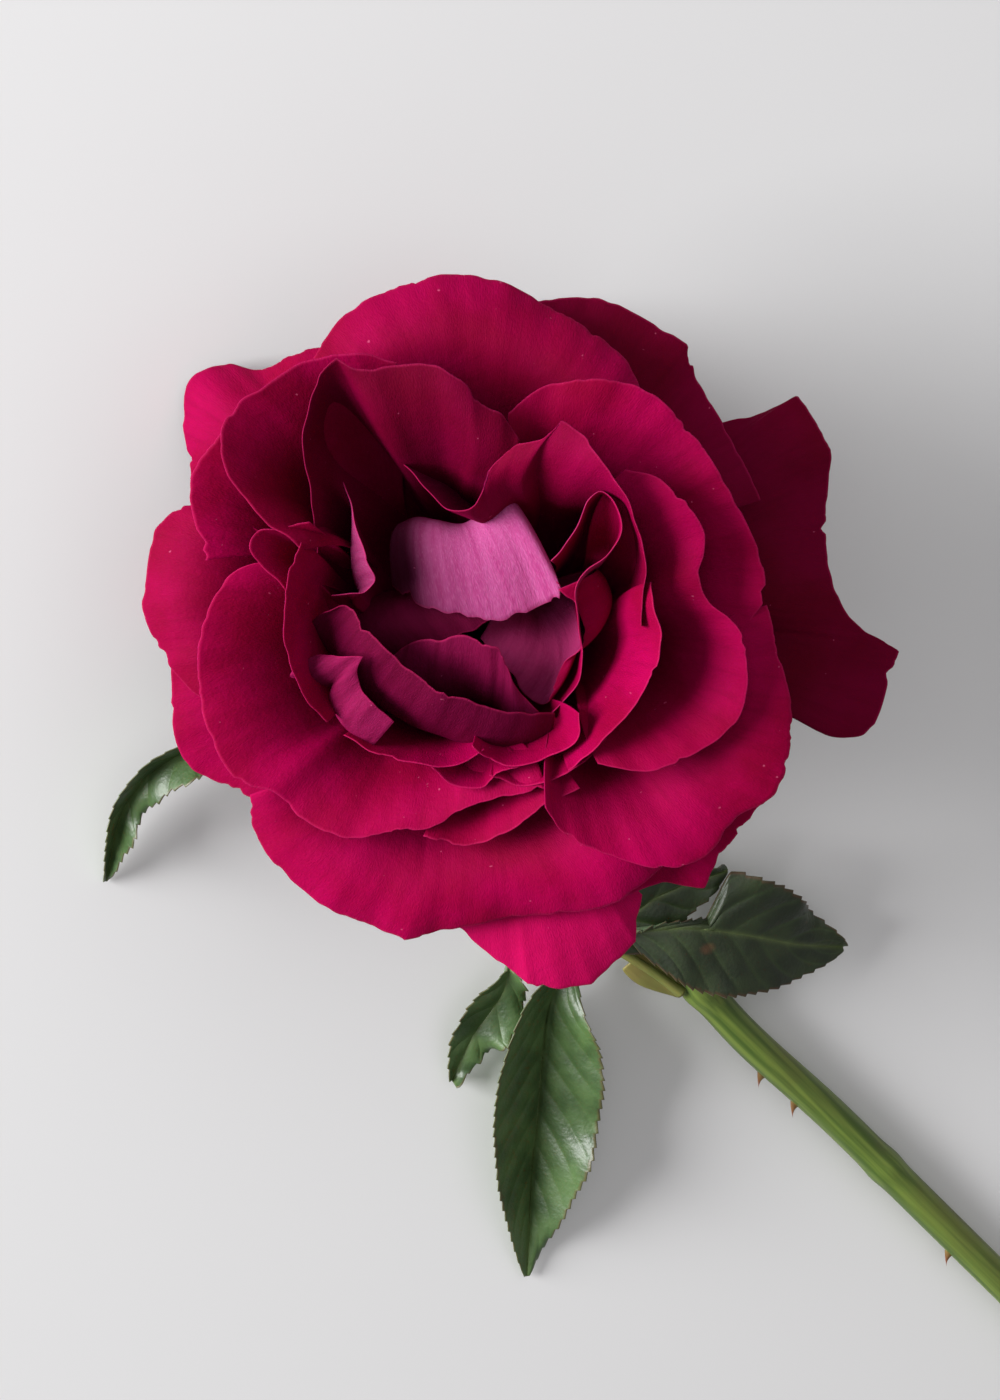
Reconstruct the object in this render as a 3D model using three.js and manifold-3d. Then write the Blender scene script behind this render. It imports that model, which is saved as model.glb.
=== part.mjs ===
// A cut garden rose lying on a table: one wide open bloom, its receptacle and sepals, a thorny stem
// with a slanted cut, and the leaflets of the two leaves nearest the bloom.
// Millimetres, +Z up, the stem runs along -Y and the bloom faces up and toward +Y.
import * as THREE from "three";
import Module from "manifold-3d";
import { mergeVertices } from "three/addons/utils/BufferGeometryUtils.js";

// ---- driving dimensions ---------------------------------------------------------------------
const BLOOM_RADIUS = 53;
const BLOOM_DEPTH = 47;
const BLOOM_TILT = 25;            // degrees between the bloom's axis and the vertical
const BLOOM_TURN = 45;            // degrees that the bloom is turned about its own axis
const PETAL_THICKNESS = 0.5;
const CLAW_INNER_RADIUS = 2.2;    // where the innermost petal leaves the receptacle
const CLAW_OUTER_RADIUS = 7.4;    // and where the outermost one does
const RECEPTACLE_RADIUS = 7.8;
const RECEPTACLE_DOME = 4.4;
const RECEPTACLE_LENGTH = 10;     // from the rim down to the stem
const SEPAL_LENGTH = 27;
const SEPAL_WIDTH = 8;
const SEPAL_THICKNESS = 0.7;
const NECK_RADIUS = 2.0;          // the stem just under the bloom
const STEM_RADIUS = 2.8;          // and at its cut end
const STEM_REACH = 242;           // how far behind the bloom's axis the cut end lies
const NECK_BEND_RADIUS = 13;
const NODE_REACH = 81;            // the leaf node, measured the same way
const STEM_OFFSET = 16.4;         // the stem lies this far to the side of the bloom's axis
const CUT_SLANT = 35;             // degrees between the cut's face and a square cut
const PRICKLE_LENGTH = 2.4;
const PRICKLE_RADIUS = 1.1;
const LEAF_THICKNESS = 0.5;
const LEAF_SCALE = 1;             // width of every leaflet against the widths drawn below
const STALK_RADIUS = 0.9;
const GAP = 0.3;                  // clearance between neighbouring pieces

// The petals' rims are drawn for a bloom of this radius and depth.
const DRAWN_RADIUS = 53;
const DRAWN_DEPTH = 47;

// Petals from the heart outward. toward: direction in which the petal leaves the receptacle, in
// degrees counter-clockwise seen from the front. claw: half the angle that its foot spans. rise and
// lean: its slope at the foot and at the rim (0 lies flat, 90 stands up, more bends back over the
// heart, less than 0 rolls down). bow and curl: the share of the length that keeps each slope.
// fan: half the angle over which the rim's lines spread. rim: [x, y, height] along the edge, and
// a fourth number where the rim has a slope of its own.
const PETALS = [
  { name: "hood", toward: 108, claw: 12, rise: 60, bow: 0.6, lean: 205, curl: 1, fan: -12,
    rim: [[5.5, 12, 31, 106], [9, 6.5, 33, 145], [11.5, 2, 32, 195], [8.5, 0.5, 31, 203],
      [3, -1.5, 30.5], [-3.5, -0.5, 30], [-9, 1, 28], [-12.5, 3, 25, 220]] },
  { name: "hood_right", toward: 40, claw: 12, rise: 55, bow: 0.5, lean: 200, curl: 0.45, fan: 20,
    rim: [[11, 3, 35], [13, 1, 33.5], [14.5, -2.5, 32], [14, -5.5, 30], [11.5, -8, 28],
      [9, -13, 26], [6.5, -12, 24], [3.5, -7.5, 23], [0, -4, 23]] },
  { name: "hood_left", toward: 140, claw: 12, rise: 50, bow: 0.5, lean: 190, curl: 0.6, fan: 20,
    rim: [[3, 1, 29], [0.5, -2, 28], [-4, -4, 27], [-11.5, -6, 24], [-17, -4, 20],
      [-19.5, 1.5, 16]] },
  { name: "heart_low", toward: 266, claw: 13, rise: 40, bow: 0.5, lean: 150, curl: 0.5, fan: 20,
    rim: [[-15, -8, 25], [-12, -6, 29], [-9, -4.5, 31.5], [-5.5, -4, 33], [-2.5, -3.5, 34],
      [-0.5, -4, 34], [1.5, -5, 34], [2.5, -5, 34], [3.5, -7, 33], [4.5, -10, 32],
      [6.5, -12.5, 30], [9.5, -15.5, 27]] },
  { name: "inner_low", toward: 238, claw: 14, rise: 34, bow: 0.5, lean: 145, curl: 0.45, fan: 30,
    rim: [[-21.5, 0, 36, 125], [-18.5, 0.5, 37, 140], [-15.5, -3, 38], [-11.5, -7, 38],
      [-6.5, -10.5, 37], [-1.5, -12.5, 36], [2, -14, 35], [7, -14.5, 33], [10.5, -14.5, 30]] },
  { name: "inner_left", toward: 185, claw: 11, rise: 36, bow: 0.42, lean: 112, curl: 0.3, fan: 20,
    rim: [[-19, 17.5, 36, 90], [-17.5, 15, 37, 95], [-17, 12.5, 38, 100], [-16.5, 9.5, 38, 112],
      [-15.5, 6.5, 38, 122], [-14.5, 4, 37, 125], [-16, 2.5, 36, 120], [-18, 2.5, 36, 100],
      [-20.5, 2, 35, 95]] },
  { name: "flap_left", toward: 218, claw: 11, rise: 34, bow: 0.45, lean: 158, curl: 0.42, fan: 12,
    rim: [[-22.5, -6.5, 34], [-19.5, -6.5, 37], [-16, -6.5, 38], [-17, -8.5, 37], [-16.5, -11, 36],
      [-15, -13, 36], [-12, -15.5, 34]] },
  { name: "scroll", toward: 12, claw: 12, rise: 38, bow: 0.42, lean: 92, curl: 0.33, fan: 14,
    rim: [[10, -15, 29], [13, -11, 32], [14, -5.5, 35], [13.5, 0, 38], [13.5, 3, 40], [15, 5, 41],
      [17.5, 7.5, 42], [19, 10.5, 43], [19, 13, 43], [18, 15, 43], [16.5, 16, 43], [15, 15, 43],
      [14, 13, 42], [12.5, 10.5, 41], [11, 8, 40], [10, 6.5, 39]] },
  { name: "pocket_low", toward: 285, claw: 11, rise: 30, bow: 0.42, lean: 60, curl: 0.3, fan: 30,
    rim: [[-1, -19, 34], [1.5, -21, 33], [6, -22, 33], [11, -20, 34], [13.5, -17.5, 36],
      [13.5, -14.5, 37]] },
  { name: "crescent_low", toward: 245, claw: 12, rise: 27, bow: 0.45, lean: 65, curl: 0.3, fan: 35,
    rim: [[-19, -17.5, 31], [-15, -20, 33], [-9.5, -21.5, 34], [-4, -21.5, 34],
      [0.5, -19.5, 33]] },
  { name: "crescent_right", toward: 330, claw: 12, rise: 34, bow: 0.42, lean: 60, curl: 0.3,
    fan: 35,
    rim: [[12.5, -22.5, 35], [16.5, -19, 38], [21.5, -12.5, 42], [24.5, -7.5, 44], [25, -3.5, 44],
      [24, 0.5, 44], [23.5, 3.5, 43]] },
  { name: "peak", toward: 52, claw: 14, rise: 38, bow: 0.55, lean: 40, curl: 0.3, fan: 40,
    rim: [[22.5, -2.5, 42, 92], [22.5, 4.5, 44, 92], [21.5, 10.5, 46, 90], [20, 15, 47, 84],
      [16.5, 20.5, 47.5, 35], [13.5, 24, 47, 12], [11, 25.5, 46.5, 6], [8.5, 23, 45.5, 4],
      [5.5, 22.5, 44.5, 4], [1.5, 19, 42.5, 15], [-1.5, 13.5, 40.5, 70], [-4.5, 13.5, 39, 90],
      [-7.5, 16.5, 38, 95], [-10.5, 20, 36, 95]] },
  { name: "shelf_a", toward: 262, claw: 11, rise: 24, bow: 0.45, lean: 45, curl: 0.3, fan: 30,
    rim: [[-6.5, -22, 32], [-4, -24.5, 31], [0.5, -25, 31], [2.5, -23, 32], [5.5, -22, 32]] },
  { name: "shelf_b", toward: 285, claw: 11, rise: 22, bow: 0.45, lean: 45, curl: 0.3, fan: 30,
    rim: [[1.5, -23, 32], [5.5, -24.5, 31], [10.5, -24, 32], [13.5, -22, 33], [17.5, -18, 35]] },
  { name: "back_wall", toward: 118, claw: 16, rise: 46, bow: 0.47, lean: 5, curl: 0.3, fan: 34,
    rim: [[5.5, 23, 42.5, 15], [3, 26.5, 44, 5], [0, 28, 45], [-2, 30.5, 46], [-6, 33, 46],
      [-11, 33, 46], [-15, 32.5, 46], [-17, 32.5, 46, 12], [-19.5, 34, 46, 40],
      [-22, 31.5, 46, 78], [-23.5, 28, 45, 88], [-24, 23, 43, 90], [-23, 15, 40, 90],
      [-23, 7, 34, 90], [-22.5, 0, 30, 90]] },
  { name: "blade_left", toward: 188, claw: 11, rise: 27, bow: 0.45, lean: 60, curl: 0.3, fan: 35,
    rim: [[-24.5, 9, 41], [-26.5, 2.5, 41], [-27, -4.5, 40], [-25, -11, 37], [-21, -15.5, 34]] },
  { name: "lobe_right", toward: 350, claw: 14, rise: 34, bow: 0.45, lean: 10, curl: 0.3, fan: 50,
    rim: [[16.5, -21.5, 36], [23.5, -22.5, 36], [29, -20.5, 36], [35.5, -15.5, 37],
      [37, -10, 38], [36, -3, 39], [31, 1.5, 40], [30, 5, 41], [31, 9.5, 42], [27.5, 15.5, 43],
      [24, 18, 43], [20, 19, 42]] },
  { name: "tongue_left", toward: 172, claw: 11, rise: 30, bow: 0.45, lean: 40, curl: 0.3, fan: 30,
    rim: [[-23.5, 12, 40], [-27.5, 11, 40], [-30.5, 10.5, 40], [-31.5, 8.5, 40], [-30, 6, 39],
      [-27, 2.5, 38]] },
  { name: "arch_top", toward: 38, claw: 14, rise: 34, bow: 0.45, lean: 5, curl: 0.35, fan: 45,
    rim: [[37, -2.5, 33], [39.5, 1.5, 34], [39, 7, 35], [33.5, 18, 38], [29, 24.5, 39],
      [23, 30, 40], [16.5, 31.5, 41], [9, 30.5, 41], [4, 27, 41]] },
  { name: "sweep_upper_left", toward: 150, claw: 14, rise: 36, bow: 0.45, lean: 25, curl: 0.3,
    fan: 45,
    rim: [[-11.5, 34, 40], [-16.5, 35, 41], [-23.5, 34, 41], [-29, 31, 41], [-33, 28.5, 41],
      [-35.5, 24.5, 41], [-35, 19.5, 41], [-32, 15, 41], [-29.5, 11.5, 41], [-26, 9.5, 41],
      [-24.5, 8, 40]] },
  { name: "sweep_lower_left", toward: 225, claw: 16, rise: 22, bow: 0.48, lean: 0, curl: 0.35,
    fan: 50,
    rim: [[-30, 6.5, 35], [-34.5, 5, 34], [-38.5, -1.5, 32], [-39.5, -7.5, 30], [-38.5, -16, 28],
      [-34, -24, 27], [-29, -25.5, 27], [-25.5, -29, 26], [-19, -32, 26], [-11.5, -31, 27],
      [-7, -30.5, 28], [-1.5, -27.5, 29], [9, -25, 31]] },
  { name: "shelf_low", toward: 275, claw: 11, rise: 24, bow: 0.42, lean: 20, curl: 0.3, fan: 30,
    rim: [[-8, -32, 26], [-2, -33, 26], [4, -31, 28], [9, -27.5, 30], [14, -25, 31]] },
  { name: "tuck_left", toward: 155, claw: 12, rise: 26, bow: 0.45, lean: 10, curl: 0.35, fan: 35,
    rim: [[-25, 33, 34], [-32, 29, 34], [-36.5, 24, 33], [-40, 19.5, 31], [-40.5, 16, 31],
      [-38.5, 7, 30]] },
  { name: "sweep_lower_right", toward: 325, claw: 16, rise: 26, bow: 0.48, lean: -20, curl: 0.4,
    fan: 50,
    rim: [[9, -27.5, 33], [11.5, -31, 31], [17, -34, 29], [24.5, -36, 28], [31, -35, 28],
      [36, -29, 29], [41, -26, 30], [43.5, -17, 32], [43, -11, 33], [41, -4, 33],
      [40, 0.5, 32]] },
  { name: "sweep_top", toward: 93, claw: 16, rise: 30, bow: 0.45, lean: -40, curl: 0.42, fan: 45,
    rim: [[22.5, 30, 32], [20, 35, 32], [17, 38, 32], [5.5, 44.5, 31], [-3, 47, 31],
      [-11, 45.5, 31], [-19.5, 40.5, 30], [-23.5, 35.5, 30]] },
  { name: "sweep_bottom", toward: 250, claw: 16, rise: 18, bow: 0.48, lean: -45, curl: 0.42,
    fan: 50,
    rim: [[-32.5, -26, 21], [-33, -29.5, 19], [-31, -34, 17], [-21.5, -42.5, 16], [-11, -47, 16],
      [-3.5, -45, 17], [7, -43.5, 19], [17, -42, 21], [22.5, -39, 23], [26.5, -36, 24]] },
  { name: "sweep_left", toward: 178, claw: 16, rise: 22, bow: 0.45, lean: -40, curl: 0.42,
    fan: 35,
    rim: [[-37.5, 15.5, 25], [-41, 15.5, 24], [-45.5, 12, 22], [-47.5, 4.5, 21], [-48, 0, 21],
      [-46, -5, 21], [-40.5, -11.5, 21], [-36, -15.5, 22]] },
  { name: "drape_upper_right", toward: 55, claw: 16, rise: 30, bow: 0.4, lean: -20, curl: 0.4,
    fan: 35,
    rim: [[40, 16, 20], [34.5, 26.5, 20], [31.5, 32, 20], [29.5, 38, 20], [22.5, 42, 20],
      [17, 44.5, 20], [10, 44.5, 21], [0, 42.5, 22]] },
  { name: "drape_lower_right", toward: 310, claw: 13, rise: 30, bow: 0.4, lean: -25, curl: 0.4,
    fan: 30,
    rim: [[11.5, -39, 18], [20, -40.5, 18], [25.5, -39, 18], [32, -39.5, 18], [34.5, -34, 20],
      [40.5, -27, 22]] },
  { name: "drape_bottom", toward: 285, claw: 14, rise: 22, bow: 0.4, lean: -40, curl: 0.42,
    fan: 30,
    rim: [[-5, -43.5, 14], [1.5, -49.5, 12], [7, -54, 11], [11.5, -54, 11], [16, -53.5, 11],
      [22.5, -47.5, 13], [23, -40.5, 15]] },
  { name: "drape_lower_left", toward: 212, claw: 14, rise: 22, bow: 0.4, lean: -35, curl: 0.42,
    fan: 30,
    rim: [[-44.5, -5.5, 12], [-44.5, -9.5, 11], [-44.5, -16, 9], [-42.5, -22.5, 7],
      [-37, -25, 7], [-31.5, -27.5, 8]] },
  { name: "drape_upper_left", toward: 140, claw: 16, rise: 20, bow: 0.4, lean: -45, curl: 0.42,
    fan: 35,
    rim: [[-22, 39, 6], [-26.5, 38, 5], [-32, 36, 3], [-37, 37, 1], [-42.5, 34.5, 1],
      [-43.5, 28.5, 0], [-43, 21, 1], [-42, 13.5, 3]] },
  { name: "guard_right", toward: 3, claw: 17, rise: 22, bow: 0.4, lean: -20, curl: 0.42, fan: 40,
    rim: [[41.5, -15.5, 12], [45.5, -14.5, 13], [49, -17.5, 13], [53.5, -18, 12], [56, -17, 11],
      [60.5, -5.5, 11], [52.5, 0, 13], [50, 7.5, 13], [50, 16, 13], [50.5, 23.5, 12],
      [46, 31.5, 11], [40.5, 29, 12], [34, 27, 13]] },
  { name: "guard_top", toward: 98, claw: 14, rise: 12, bow: 0.4, lean: -50, curl: 0.42, fan: 30,
    rim: [[11.5, 39.5, -5], [3, 44.5, -6.5], [-6, 45.5, -6.5], [-15, 41.5, -5], [-21, 36, -4]] },
  { name: "guard_left", toward: 190, claw: 14, rise: 10, bow: 0.4, lean: -50, curl: 0.42,
    fan: 30,
    rim: [[-41, 8, -7], [-45, 2.5, -8.5], [-45, -5, -7], [-43, -12.5, -6], [-38, -18.5, -5]] },
];
const PETAL_ROWS = [0, 0.3, 0.58, 0.82, 1];

// Five sepals: direction in degrees, and how far the tip hangs below the receptacle's rim.
// foot: shares of the receptacle's radius and length. droop: how late the hanging sets in. tip: half
// the width left at the point. cup: how far the sides rise for their width.
const SEPAL_FOOT_OUT = 0.86;
const SEPAL_FOOT_DOWN = 0.3;
const SEPAL_TAPER = 0.8;
const SEPAL_DROOP = 1.6;
const SEPAL_TIP = 0.4;
const SEPAL_CUP = 0.25;
const SEPAL_ROWS = [0, 0.25, 0.5, 0.75, 1];
const SEPALS = [[-9, 17], [63, 13], [135, 7], [207, 13], [279, 17]];

// Prickles up the stem: distance behind the bloom's axis, and direction round the stem in degrees
// (0 = +X, 90 = up). The last ones are where the stem runs on to its cut.
const PRICKLES = [[101, 185], [109, 172], [151, 176], [168, 10], [187, 150], [214, 25]];

// The leaf stalk nearest the bloom runs from the node along these points; the leaflets' midribs run
// from the stalk out to their tips. width is the whole leaflet's, fold the degrees that each half
// rises from the midrib, roll the degrees that the blade is turned about it.
const STALK_ROUTE = [[-19.4, -78.5, 6.4], [-20.5, -70, 7.4], [-22.8, -61.5, 7.6], [-28, -56, 7.2],
  [-33.5, -54, 6.6]];
const STIPULE_LENGTH = 11;
const STIPULE_WIDTH = 4;
const STIPULE_ROWS = [0.02, 0.35, 0.7, 1];
const LEAFLETS = [
  { name: "leaflet_right", width: 19, fold: 8, roll: -4, bitten: 0.36,
    midrib: [[-20.4, -60.8, 9.6], [-12.2, -67.6, 11.4], [-6.2, -76.5, 10.5], [-1.1, -86.3, 8],
      [4, -94.8, 4.6]] },
  { name: "leaflet_behind", width: 13, fold: 10, roll: 8,
    midrib: [[-24.5, -56.2, 8.8], [-18.7, -59.8, 9.4], [-10.4, -62.2, 9.4], [-0.6, -68.4, 7.6]] },
  { name: "leaflet_front", width: 22, fold: 24, roll: 6,
    midrib: [[-25.6, -60.4, 7], [-34.5, -63.9, 4.6], [-41.6, -70.6, 2.6], [-49.1, -78.3, 1.4],
      [-56.4, -85.1, 1], [-69.6, -98.4, 1.2]] },
  { name: "leaflet_end", width: 9, fold: 24, roll: 0,
    midrib: [[-34.6, -53.4, 6.2], [-39.5, -57.1, 4.6], [-47.1, -59.5, 3], [-54.8, -63.4, 1.2]] },
  { name: "leaflet_left", width: 8, fold: 24, roll: 0,
    midrib: [[-33, 9.5, 9.4], [-41.3, 10.8, 9.8], [-51.1, 12.8, 8], [-58.8, 10.4, 5],
      [-68.6, 2.6, 1]] },
];

// A leaflet starts on a short bare stalk, is broadest below its middle and ends in a drawn-out point.
const LEAFLET_STALK_SHARE = 0.06;
const STALK_TO_BLADE = 0.7;
const BLADE_SKEW = 0.76;
const BLADE_FULLNESS = 0.9;
const BITTEN_REST = 0.15;
const LEAF_ROWS = 9;

// The side stalk leaves the stem this far behind the bloom's axis, from a foot a little beside and
// above the middle of the stem, and then runs along these points.
const SIDE_STALK_REACH = 12.5;
const SIDE_STALK_BESIDE = -2.62;
const SIDE_STALK_ABOVE = 0.45;
const SIDE_STALK_ROUTE = [[-12, -7.5, 5], [-23, 3, 7], [-32.2, 9.3, 9.3]];

// The receptacle's side below its rim: shares of its radius and of its length.
const RECEPTACLE_SIDE = [[0.94, 0.16], [0.76, 0.42], [0.7, 0.68], [0.48, 0.9]];

// The stem: how low the neck's bend ends for its start, the shares of the turn where points are set,
// the level run past the node, the share of the stem over which the neck thickens.
const BEND_FOOT_SHARE = 0.4;
const BEND_STEPS = [0, 0.33, 0.66, 1];
const STRAIGHT_AFTER_NODE = 40;
const CLEAR_OF_TABLE = 0.1;
const NECK_SHARE = 0.4;
const PRICKLE_HOOK = 0.5;
const PRICKLE_ROOT = 0.8;
const CUT_BLOCK_SIDE = 8;

// How finely round bodies are divided.
const DOME_STEPS = 6;
const RECEPTACLE_FACETS = 16;
const STEM_STEPS = 28;
const STEM_FACETS = 8;
const STALK_STEPS = 10;
const STALK_FACETS = 6;
const PRICKLE_FACETS = 6;
const HALVINGS = 40;
const MERGE_DISTANCE = 1e-4;

// ---- materials ------------------------------------------------------------------------------
function finish(colour, roughness) {
  return new THREE.MeshStandardMaterial({ color: colour, roughness, metalness: 0 });
}
const PETAL_RED = finish(0xa3084a, 0.6);
const RECEPTACLE_GREEN = finish(0x5d7236, 0.55);
const SEPAL_GREEN = finish(0x536b33, 0.6);
const STEM_GREEN = finish(0x4e5b32, 0.5);
const LEAF_GREEN = finish(0x2f4526, 0.45);

// ---- closed bodies --------------------------------------------------------------------------
const wasm = await Module();
wasm.setup();

const rad = THREE.MathUtils.degToRad;

function solidOf(geometry) {
  const bare = geometry.clone();
  bare.deleteAttribute("normal");
  bare.deleteAttribute("uv");
  const merged = mergeVertices(bare, MERGE_DISTANCE);
  return new wasm.Manifold(new wasm.Mesh({
    numProp: 3,
    vertProperties: new Float32Array(merged.attributes.position.array),
    triVerts: new Uint32Array(merged.index.array),
  }));
}

function geometryOf(solid) {
  const mesh = solid.getMesh();
  const geometry = new THREE.BufferGeometry();
  geometry.setAttribute("position", new THREE.BufferAttribute(mesh.vertProperties, 3));
  geometry.setIndex(new THREE.BufferAttribute(mesh.triVerts, 1));
  return geometry;
}

// A sheet of even thickness on a grid of points. grid[column][row]; its face looks along
// (row direction) x (column direction). margin lengthens it all round.
function sheet(grid, thickness, margin = 0) {
  const columns = grid.length;
  const rows = grid[0].length;
  const { clamp } = THREE.MathUtils;
  const at = (i, j) => grid[clamp(i, 0, columns - 1)][clamp(j, 0, rows - 1)];
  const front = [];
  const back = [];
  for (let i = 0; i < columns; i++) {
    for (let j = 0; j < rows; j++) {
      const across = at(i + 1, j).clone().sub(at(i - 1, j)).normalize();
      const along = at(i, j + 1).clone().sub(at(i, j - 1)).normalize();
      const normal = along.clone().cross(across).normalize();
      const point = at(i, j).clone();
      if (i === 0) point.addScaledVector(across, -margin);
      if (i === columns - 1) point.addScaledVector(across, margin);
      if (j === 0) point.addScaledVector(along, -margin);
      if (j === rows - 1) point.addScaledVector(along, margin);
      front.push(point.clone().addScaledVector(normal, thickness / 2));
      back.push(point.clone().addScaledVector(normal, -thickness / 2));
    }
  }
  const index = (i, j) => i * rows + j;
  const behind = columns * rows;
  const triangles = [];
  const edge = [];
  for (let i = 0; i < columns - 1; i++) {
    for (let j = 0; j < rows - 1; j++) {
      const [a, b, c, d] = [index(i, j), index(i, j + 1), index(i + 1, j + 1), index(i + 1, j)];
      triangles.push(a, b, c, a, c, d);
      triangles.push(behind + a, behind + c, behind + b, behind + a, behind + d, behind + c);
    }
  }
  for (let j = 0; j < rows - 1; j++) edge.push(index(0, j));
  for (let i = 0; i < columns - 1; i++) edge.push(index(i, rows - 1));
  for (let j = rows - 1; j > 0; j--) edge.push(index(columns - 1, j));
  for (let i = columns - 1; i > 0; i--) edge.push(index(i, 0));
  edge.forEach((a, k) => {
    const b = edge[(k + 1) % edge.length];
    triangles.push(b, a, behind + a, b, behind + a, behind + b);
  });
  const geometry = new THREE.BufferGeometry().setFromPoints([...front, ...back]);
  geometry.setIndex(triangles);
  return solidOf(geometry);
}

// A round tube along a curve, its radius given by a function of the share of the way along it.
function tube(curve, radiusAt, steps, sides) {
  const frames = curve.computeFrenetFrames(steps, false);
  const points = [];
  for (let k = 0; k <= steps; k++) {
    const centre = curve.getPointAt(k / steps);
    for (let s = 0; s < sides; s++) {
      const turn = (2 * Math.PI * s) / sides;
      points.push(centre.clone()
        .addScaledVector(frames.normals[k], radiusAt(k / steps) * Math.cos(turn))
        .addScaledVector(frames.binormals[k], radiusAt(k / steps) * Math.sin(turn)));
    }
  }
  const first = points.push(curve.getPointAt(0)) - 1;
  const last = points.push(curve.getPointAt(1)) - 1;
  const triangles = [];
  for (let s = 0; s < sides; s++) {
    const next = (s + 1) % sides;
    for (let k = 0; k < steps; k++) {
      const [a, b] = [k * sides + s, k * sides + next];
      triangles.push(a, b, b + sides, a, b + sides, a + sides);
    }
    triangles.push(first, next, s);
    triangles.push(last, steps * sides + s, steps * sides + next);
  }
  const geometry = new THREE.BufferGeometry().setFromPoints(points);
  geometry.setIndex(triangles);
  return solidOf(geometry);
}

const curveThrough = (points) =>
  new THREE.CatmullRomCurve3(points.map((p) => (p.isVector3 ? p : new THREE.Vector3(...p))));

// Pieces already made. Each new one is cut clear of all of them and keeps its main part. Cuts that
// almost meet are joined first, so that what hangs by less than a hair counts as another part.
const settled = [];
function settle(whole, grown) {
  let solid = whole;
  for (const other of settled) solid = solid.subtract(other);
  const parts = solidOf(geometryOf(solid)).decompose();
  solid = parts.reduce((a, b) => (b.volume() > a.volume() ? b : a));
  settled.push(grown.add(whole));
  return solid;
}

// ---- bloom, in its own frame: axis +Z, receptacle rim at z = 0 ---------------------------------
const bloom = new THREE.Group();
bloom.rotation.set(rad(-BLOOM_TILT), 0, rad(-BLOOM_TURN), "XYZ");
bloom.updateMatrix();

const domeHeight = (radius) => RECEPTACLE_DOME * (1 - (radius / RECEPTACLE_RADIUS) ** 2);

function receptacle(margin) {
  const profile = [];
  for (let k = 0; k <= DOME_STEPS; k++) {
    const radius = (RECEPTACLE_RADIUS * k) / DOME_STEPS;
    profile.push(new THREE.Vector2(radius + (k ? margin : 0), domeHeight(radius) + margin));
  }
  for (const [out, down] of RECEPTACLE_SIDE) {
    profile.push(new THREE.Vector2(RECEPTACLE_RADIUS * out + margin, -RECEPTACLE_LENGTH * down));
  }
  profile.push(new THREE.Vector2(NECK_RADIUS + margin, -RECEPTACLE_LENGTH - margin));
  profile.push(new THREE.Vector2(0, -RECEPTACLE_LENGTH - margin));
  const urn = new THREE.LatheGeometry(profile.reverse(), RECEPTACLE_FACETS);
  urn.rotateX(Math.PI / 2);
  return solidOf(urn);
}

function radial(azimuth, elevation) {
  return new THREE.Vector3(
    Math.cos(rad(azimuth)) * Math.cos(rad(elevation)),
    Math.sin(rad(azimuth)) * Math.cos(rad(elevation)),
    Math.sin(rad(elevation)),
  );
}

// A petal is a fan of cubic Bezier lines, one from its foot on the receptacle to each rim point.
function petalGrid(petal, order) {
  const share = order / (PETALS.length - 1);
  const footRadius = THREE.MathUtils.lerp(CLAW_INNER_RADIUS, CLAW_OUTER_RADIUS, share);
  const footHeight = domeHeight(footRadius) + GAP;
  const rim = petal.rim.map(([x, y, height]) => new THREE.Vector3(
    (x * BLOOM_RADIUS) / DRAWN_RADIUS,
    (y * BLOOM_RADIUS) / DRAWN_RADIUS,
    (height * BLOOM_DEPTH) / DRAWN_DEPTH,
  ));
  const run = [0];
  for (let k = 1; k < rim.length; k++) run.push(run[k - 1] + rim[k].distanceTo(rim[k - 1]));
  return rim.map((end, k) => {
    const side = (2 * run[k]) / run[run.length - 1] - 1;
    const foot = radial(petal.toward + side * petal.claw, 0).multiplyScalar(footRadius);
    foot.z = footHeight;
    const length = end.distanceTo(foot);
    const lean = petal.rim[k][3] ?? petal.lean;
    const leaving = radial(petal.toward + side * petal.claw, petal.rise);
    const arriving = radial(petal.toward + side * petal.fan, lean);
    const line = new THREE.CubicBezierCurve3(
      foot,
      foot.clone().addScaledVector(leaving, petal.bow * length),
      end.clone().addScaledVector(arriving, -petal.curl * length),
      end,
    );
    return PETAL_ROWS.map((t) => line.getPoint(t));
  });
}

// A sepal leaves the receptacle just under its rim and hangs in one even curve.
function sepalGrid(azimuth, hang) {
  const start = RECEPTACLE_RADIUS * SEPAL_FOOT_OUT + GAP;
  const foot = -RECEPTACLE_LENGTH * SEPAL_FOOT_DOWN;
  return [-1, 0, 1].map((side) => SEPAL_ROWS.map((t) => {
    const half = (SEPAL_WIDTH / 2) * (1 - t) ** SEPAL_TAPER + SEPAL_TIP;
    const point = radial(azimuth, 0).multiplyScalar(start + SEPAL_LENGTH * t);
    point.z = foot - hang * t ** SEPAL_DROOP + Math.abs(side) * half * SEPAL_CUP;
    return point.addScaledVector(radial(azimuth + 90, 0), side * half);
  }));
}

const pieces = [];
function keep(parent, name, solid, material) {
  pieces.push({ parent, name, solid, material });
}

keep(bloom, "receptacle", settle(receptacle(0), receptacle(GAP)), RECEPTACLE_GREEN);
PETALS.forEach((petal, order) => {
  const grid = petalGrid(petal, order);
  const grown = sheet(grid, PETAL_THICKNESS + 2 * GAP, GAP);
  keep(bloom, `petal_${petal.name}`, settle(sheet(grid, PETAL_THICKNESS), grown), PETAL_RED);
});
SEPALS.forEach(([azimuth, hang], order) => {
  const grid = sepalGrid(azimuth, hang);
  const grown = sheet(grid, SEPAL_THICKNESS + 2 * GAP, GAP);
  keep(bloom, `sepal_${order + 1}`, settle(sheet(grid, SEPAL_THICKNESS), grown), SEPAL_GREEN);
});

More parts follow.
